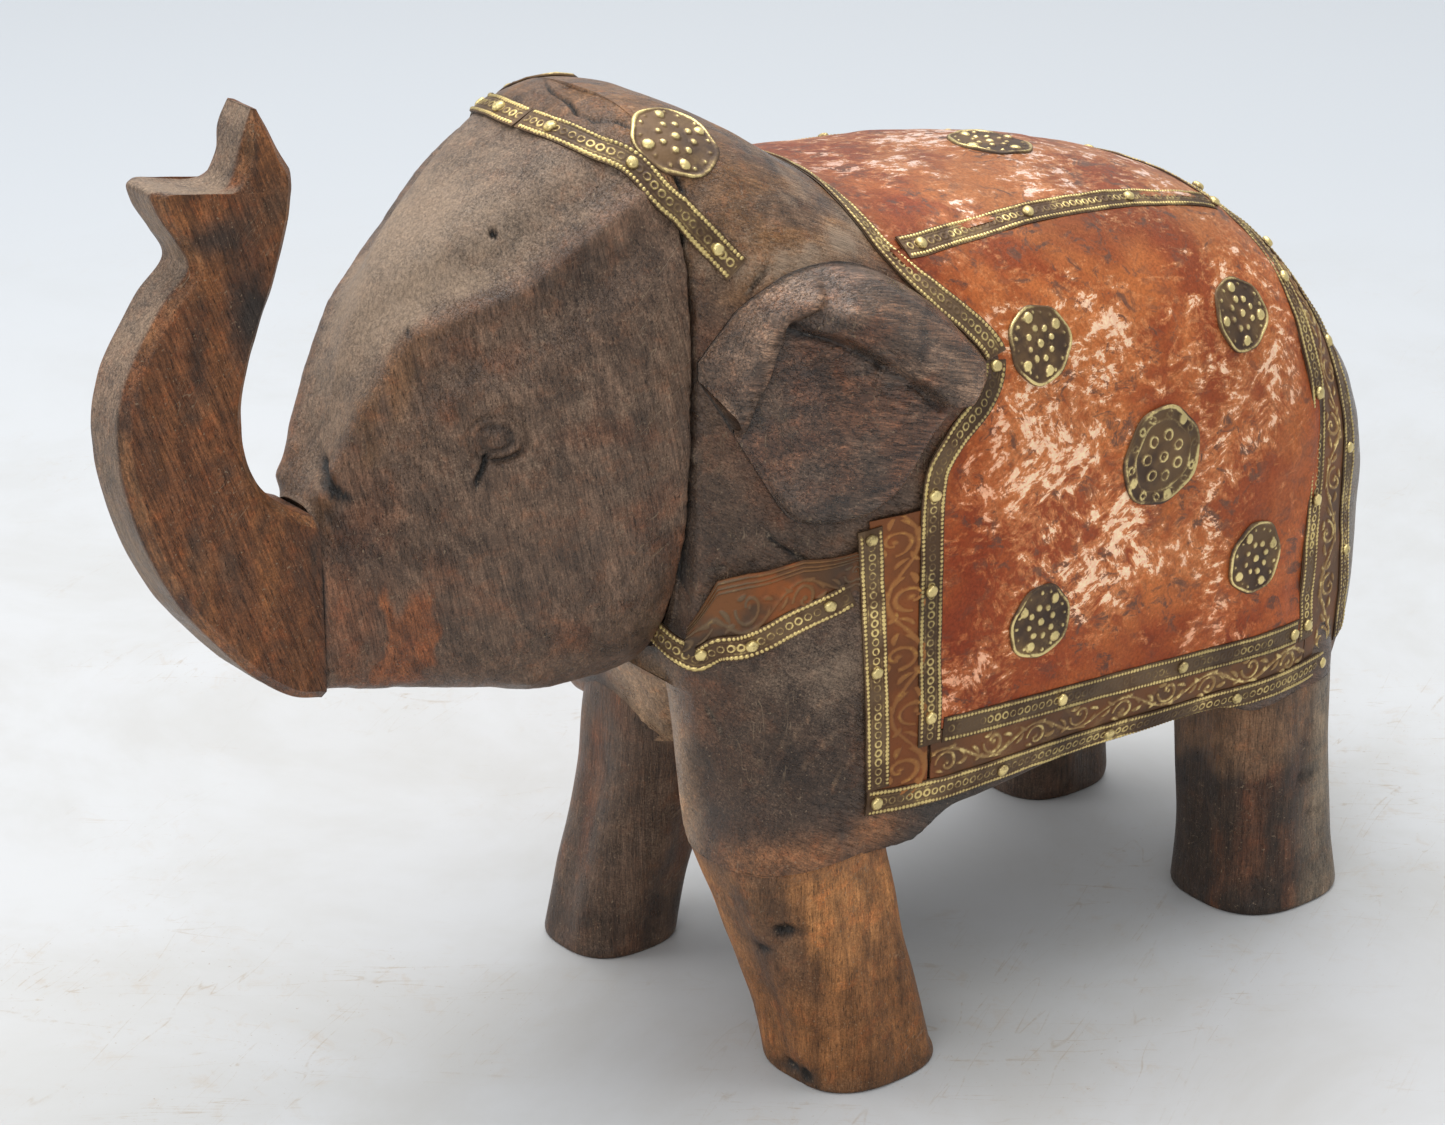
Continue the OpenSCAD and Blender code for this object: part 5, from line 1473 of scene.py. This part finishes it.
def rosette_height(r, phi, radius, kind, seed):
    """Embossing of a stamped disc, 0 to 1."""
    wob = 0.04 * np.sin(3 * phi + seed) + 0.03 * np.sin(5 * phi + 2.1 * seed)
    q = r / (radius * (1 + wob * 0.4))
    patchy = np.clip(0.75 + 0.6 * np.sin(phi * 2 + seed * 1.7) * np.sin(phi + seed), 0.15, 1)
    h = patchy * bell(q - 0.95, 0.045)
    x, y = r * np.cos(phi), r * np.sin(phi)

    def away(reach, turn):
        return np.hypot(x - radius * reach * np.cos(turn), y - radius * reach * np.sin(turn))

    def boss(reach, turn, size, top):
        return top * np.sqrt(np.clip(1 - (away(reach, turn) / size) ** 2, 0, 1))

    def ring(reach, turn, size, thick, top):
        return top * bell(away(reach, turn) - size, thick)

    rng = np.random.RandomState(200 + seed)
    full = 2 * np.pi
    if kind == "large":
        marks = [0.55 * bell(q - 0.72, 0.03), ring(0, 0, 1.25, 0.4, 0.9)]
        for k in range(14):
            turn = full * (k + 0.3 * rng.rand()) / 14
            marks.append(ring(0.83, turn, 0.85, 0.34, 0.55 + 0.45 * rng.rand()))
        for k in range(7):
            marks.append(ring(0.42, full * k / 7 + 0.4, 1.25, 0.4, 0.6 + 0.4 * rng.rand()))
        marks += [boss(0.84, turn, 1.5, 1.3) for turn in (0.9, 3.6, 4.9)]
    else:
        marks = [boss(0, 0, 1.15, 1.1)]
        for k in range(8):
            size = 0.8 + 0.25 * rng.rand()
            marks.append(boss(0.4, full * k / 8 + 0.2, size, 0.75 + 0.3 * rng.rand()))
        for k in range(16):
            turn = full * (k + 0.3 * rng.rand()) / 16
            marks.append(boss(0.8, turn, 0.55, 0.5 + 0.4 * rng.rand()))
        for k in range(4):
            turn = full * (k + 0.35 * rng.rand()) / 4 + 0.7 + seed
            marks.append(boss(0.72, turn, 1.45, 1.35))
    return np.maximum(h, np.max(marks, axis=0))


def rosette_grid(x, a, side, radius, kind, seed, lift=0.75):
    p, n, east, north = disc_frame(x, a, side)
    rings, around = 34, 132
    r = radius * np.linspace(0.0, 1.0, rings)[1:]
    phi = 2 * np.pi * np.arange(around) / around
    R, PHI = np.meshgrid(r, phi, indexing="ij")
    outline = 1 + 0.025 * np.sin(3 * PHI + seed) + 0.02 * np.sin(7 * PHI + 2 * seed)
    RR = R * outline
    flat = p + east * (RR * np.cos(PHI))[..., None] + north * (RR * np.sin(PHI))[..., None]
    X, A = to_section(flat * np.array([1, side, 1]))
    base, normal = outer_surface(X, A)
    base, normal = mirrored(base, side), mirrored(normal, side)
    h = rosette_height(R, PHI, radius, kind, seed)
    top = base + normal * (lift + 0.62 * h + 0.12 * noise(base, 6, 130))[..., None]
    skirt = base[-1:] + normal[-1:] * 0.2
    rows = np.concatenate([top, skirt])
    relief = np.concatenate([h, 0 * h[-1:]])
    centre = p + n * (lift + 0.62 * 1.1)
    return rows, relief, centre


def disc_mesh(name, discs, node):
    """Several discs as one piece."""
    points, quads, tris, relief, paint = [], [], [], [], []
    start = 0
    for rows, rel, centre in discs:
        nu, nv = rows.shape[:2]
        points.append(np.vstack([rows.reshape(-1, 3), centre]))
        relief.append(np.append(rel.ravel(), 1.0))
        q = grid_faces(nu, nv, True, False) + start
        du, dv = rows[1, 0] - rows[0, 0], rows[0, 1] - rows[0, 0]
        outward = np.dot(np.cross(du, dv), rows[0].mean(0) - rows[-1].mean(0))
        hub = start + nu * nv
        fan = [(hub, start + j, start + (j + 1) % nv) for j in range(nv)]
        if outward < 0:
            q = q[:, ::-1]
            fan = [f[::-1] for f in fan]
        quads.append(q)
        tris += fan
        shade = 0.92 + 0.25 * noise(points[-1], 7, 140)
        paint.append(np.clip(shade, 0.4, 1.2)[:, None] * np.ones(3))
        start += nu * nv + 1
    obj = make_mesh(name, np.vstack(points), np.vstack(quads), tris, np.vstack(paint), np.concatenate(relief))
    finish_piece(obj, [node], medal)


def tack_grid(x, a, side, radius, seed, lift=1.1):
    p, n, east, north = disc_frame(x, a, side)
    rng = np.random.RandomState(300 + seed)
    around, rings = 22, 6
    tilt = 0.12 * (rng.rand(2) - 0.5)
    n = n + east * tilt[0] + north * tilt[1]
    n /= np.linalg.norm(n)
    t = np.linspace(0.12, 1, rings)
    phi = 2 * np.pi * np.arange(around) / around
    T, PHI = np.meshgrid(t, phi, indexing="ij")
    r = radius * T * (1 + 0.06 * np.sin(2 * PHI + seed) + 0.04 * np.sin(5 * PHI))
    h = 0.75 * np.sqrt(np.clip(1 - T**2.4, 0, 1))
    rows = p + east * (r * np.cos(PHI))[..., None] + north * (r * np.sin(PHI))[..., None]
    rows = rows + n * (lift + h)[..., None]
    skirt = rows[-1:] - n * 0.6
    rows = np.concatenate([rows, skirt])
    relief = np.concatenate([0.75 + 0.35 * (1 - T), 0.3 + 0 * T[-1:]])
    return rows, relief, p + n * (lift + 0.76)


# x and z of the small rosettes on a flank
SMALL_ROSETTES = [(34, 182), (105, 173), (33, 112), (108, 108.5)]


def build_rosettes(side, tag):
    small = [rosette_grid(x, float(flank_angle(x, z)), side, 9.6, "small", 1 + k)
             for k, (x, z) in enumerate(SMALL_ROSETTES)]
    disc_mesh("rosettes_%s_stamped" % tag, small, "rosettes_" + tag)
    large = [rosette_grid(72, float(flank_angle(72, 145.5)), side, 12.8, "large", 9)]
    disc_mesh("centre_rosette_%s_stamped" % tag, large, "centre_rosette_" + tag)

    spots = [(x, float(flank_angle(x, outer_z(x)))) for x in (-15, 24, 62, 106, 142)]
    spots += [(x, float(flank_angle(x, inner_z(x)))) for x in (42, 84, 126)]
    spots += [(x, float(ridge_angle(x))) for x in (10, 48, 86, 120)]
    for c, angles in ((1, (-42, -20, 2, 28)), (2, (-38, -10, 18, 45, 72)), (3, (-24, 6, 34, 60, 82))):
        spots += [(float(line_x(c, a)), a) for a in angles]
    spots += [(outer_front_x(a), a) for a in (-38, -12)]
    tacks = [tack_grid(x, a, side, 1.55, k) for k, (x, a) in enumerate(spots)]
    disc_mesh("saddle_tacks_%s_domed" % tag, tacks, "saddle_tacks_" + tag)


def build_loose_tacks():
    collar, forehead, crown = [], [], []
    for side in (-1, 1):
        for k, x in enumerate((-54, -45, -28)):
            collar.append(tack_grid(x, float(smooth(COLLAR, x, 1)), side, 1.5, 50 + k))
        for k, a in enumerate((43, 62, 81)):
            forehead.append(tack_grid(float(smooth(FOREHEAD_LINE, a, 1)), a, side, 1.5, 60 + k, 1.25))
        place = float(angle_at_y(BODY, -50, 27))
        crown.append(rosette_grid(-50, place, side, 10.8, "small", 14 + side, 0.45))
    disc_mesh("collar_tacks_domed", collar, "collar_tacks")
    disc_mesh("forehead_tacks_domed", forehead, "forehead_tacks")
    back = rosette_grid(70, 90.0, 1, 10.8, "small", 12)
    disc_mesh("back_rosette_stamped", [back], "back_rosette")
    disc_mesh("crown_rosettes_stamped", crown, "crown_rosettes")


build_body()
build_head()
build_trunk()
for flank in (-1, 1):
    build_ear(flank)
build_leg("leg_front_left", LEGS["leg_front_left"], wood_raw)
for leg_name in ("leg_front_right", "leg_rear_left", "leg_rear_right"):
    build_leg(leg_name, LEGS[leg_name], wood_leg)
for flank in (-1, 1):
    side_name = "left" if flank < 0 else "right"
    build_flank_sheets(flank, side_name)
    build_flank_strips(flank, side_name)
    build_collar(flank, side_name)
    build_rosettes(flank, side_name)
build_spanning()
build_loose_tacks()

# the pegs stay as the CAD has them, inside the joints
peg_wood = Nodes("peg_wood")
peg_grain = peg_wood.noise(peg_wood.mapping((300, 300, 60)), 1.0, 4)
peg_wood.set(Base_Color=peg_wood.mix(peg_grain, (0.3, 0.18, 0.09), (0.5, 0.32, 0.17)), Roughness=0.7)
for peg in ("neck_peg", "trunk_peg", "leg_pegs", "ear_pegs"):
    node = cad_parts[peg]
    node.data.materials.clear()
    node.data.materials.append(peg_wood.m)

# ---------------------------------------------------------------- floor and light
floor_mesh = bpy.data.meshes.new("floor")
floor_mesh.from_pydata([(-6, -6, 0), (6, -6, 0), (6, 6, 0), (-6, 6, 0)], [], [(0, 1, 2, 3)])
floor = bpy.data.objects.new("floor", floor_mesh)
bpy.context.scene.collection.objects.link(floor)
ground = Nodes("pale_floor")
blotch = ground.noise(ground.mapping(), 9, 6, 0.65, 0.4)
dirt = ground.noise(ground.mapping(), 110, 6, 0.78, 0.6)
speckle = ground.noise(ground.mapping(), 620, 3, 0.7)
hair_a = ground.hairline(ground.noise(ground.mapping((5, 70, 1), (0, 0, 0.5)), 1.0, 2, 0.5, 0.8), 0.006)
hair_b = ground.hairline(ground.noise(ground.mapping((6, 60, 1), (0, 0, -0.7)), 1.0, 2, 0.5, 1.0), 0.006)
patches = ground.ramp(ground.noise(ground.mapping(), 7, 3, 0.6), 0.46, 0.62)
dirty = ground.times(ground.ramp(dirt, 0.52, 0.7), patches)
lines = ground.times(patches, ground.ramp(dirt, 0.42, 0.6))
lines = ground.times(ground.math("MAXIMUM", hair_a, hair_b), lines)
dots = ground.times(ground.ramp(speckle, 0.66, 0.72), patches)
split = ground.nodes.new("ShaderNodeSeparateXYZ")
ground.links.new(ground.coords, split.inputs[0])
depth = ground.plus(ground.times(split.outputs[0], 0.62), ground.times(split.outputs[1], 0.78))
far = ground.ramp(depth, 0.12, 0.75)
near_tone = ground.mix(ground.ramp(blotch, 0.38, 0.66), (0.535, 0.538, 0.543), (0.49, 0.485, 0.474))
tone_floor = ground.mix(far, near_tone, (0.48, 0.5, 0.525))
clean = ground.minus(1.0, far)
tone_floor = ground.mix(ground.times(ground.times(dirty, 0.38), clean), tone_floor, (0.45, 0.37, 0.29))
tone_floor = ground.mix(ground.times(ground.times(lines, 0.5), clean), tone_floor, (0.36, 0.28, 0.2))
tone_floor = ground.mix(ground.times(ground.times(dots, 0.6), clean), tone_floor, (0.3, 0.21, 0.14))
ground.set(Base_Color=tone_floor, Roughness=0.55, Specular_IOR_Level=0.25)
floor_mesh.materials.append(ground.m)

world = bpy.data.worlds.new("studio")
world.use_nodes = True
world.node_tree.nodes["Background"].inputs[0].default_value = (0.93, 0.97, 1.0, 1)
world.node_tree.nodes["Background"].inputs[1].default_value = 0.66
bpy.context.scene.world = world


def soft_light(name, at, to, size, power, colour=(1, 1, 1)):
    lamp = bpy.data.objects.new(name, bpy.data.lights.new(name, "AREA"))
    lamp.data.size = size
    lamp.data.energy = power
    lamp.data.color = colour
    lamp.location = at
    lamp.rotation_euler = (Vector(to) - Vector(at)).to_track_quat("-Z", "Y").to_euler()
    bpy.context.scene.collection.objects.link(lamp)


soft_light("overhead", (0.25, 0.3, 1.7), (0, 0, 0.1), 1.7, 34)
soft_light("left", (-1.3, -1.1, 1.2), (0, 0, 0.12), 1.3, 10)
soft_light("far_left", (-1.1, 1.0, 0.8), (0, 0, 0.14), 0.9, 7)
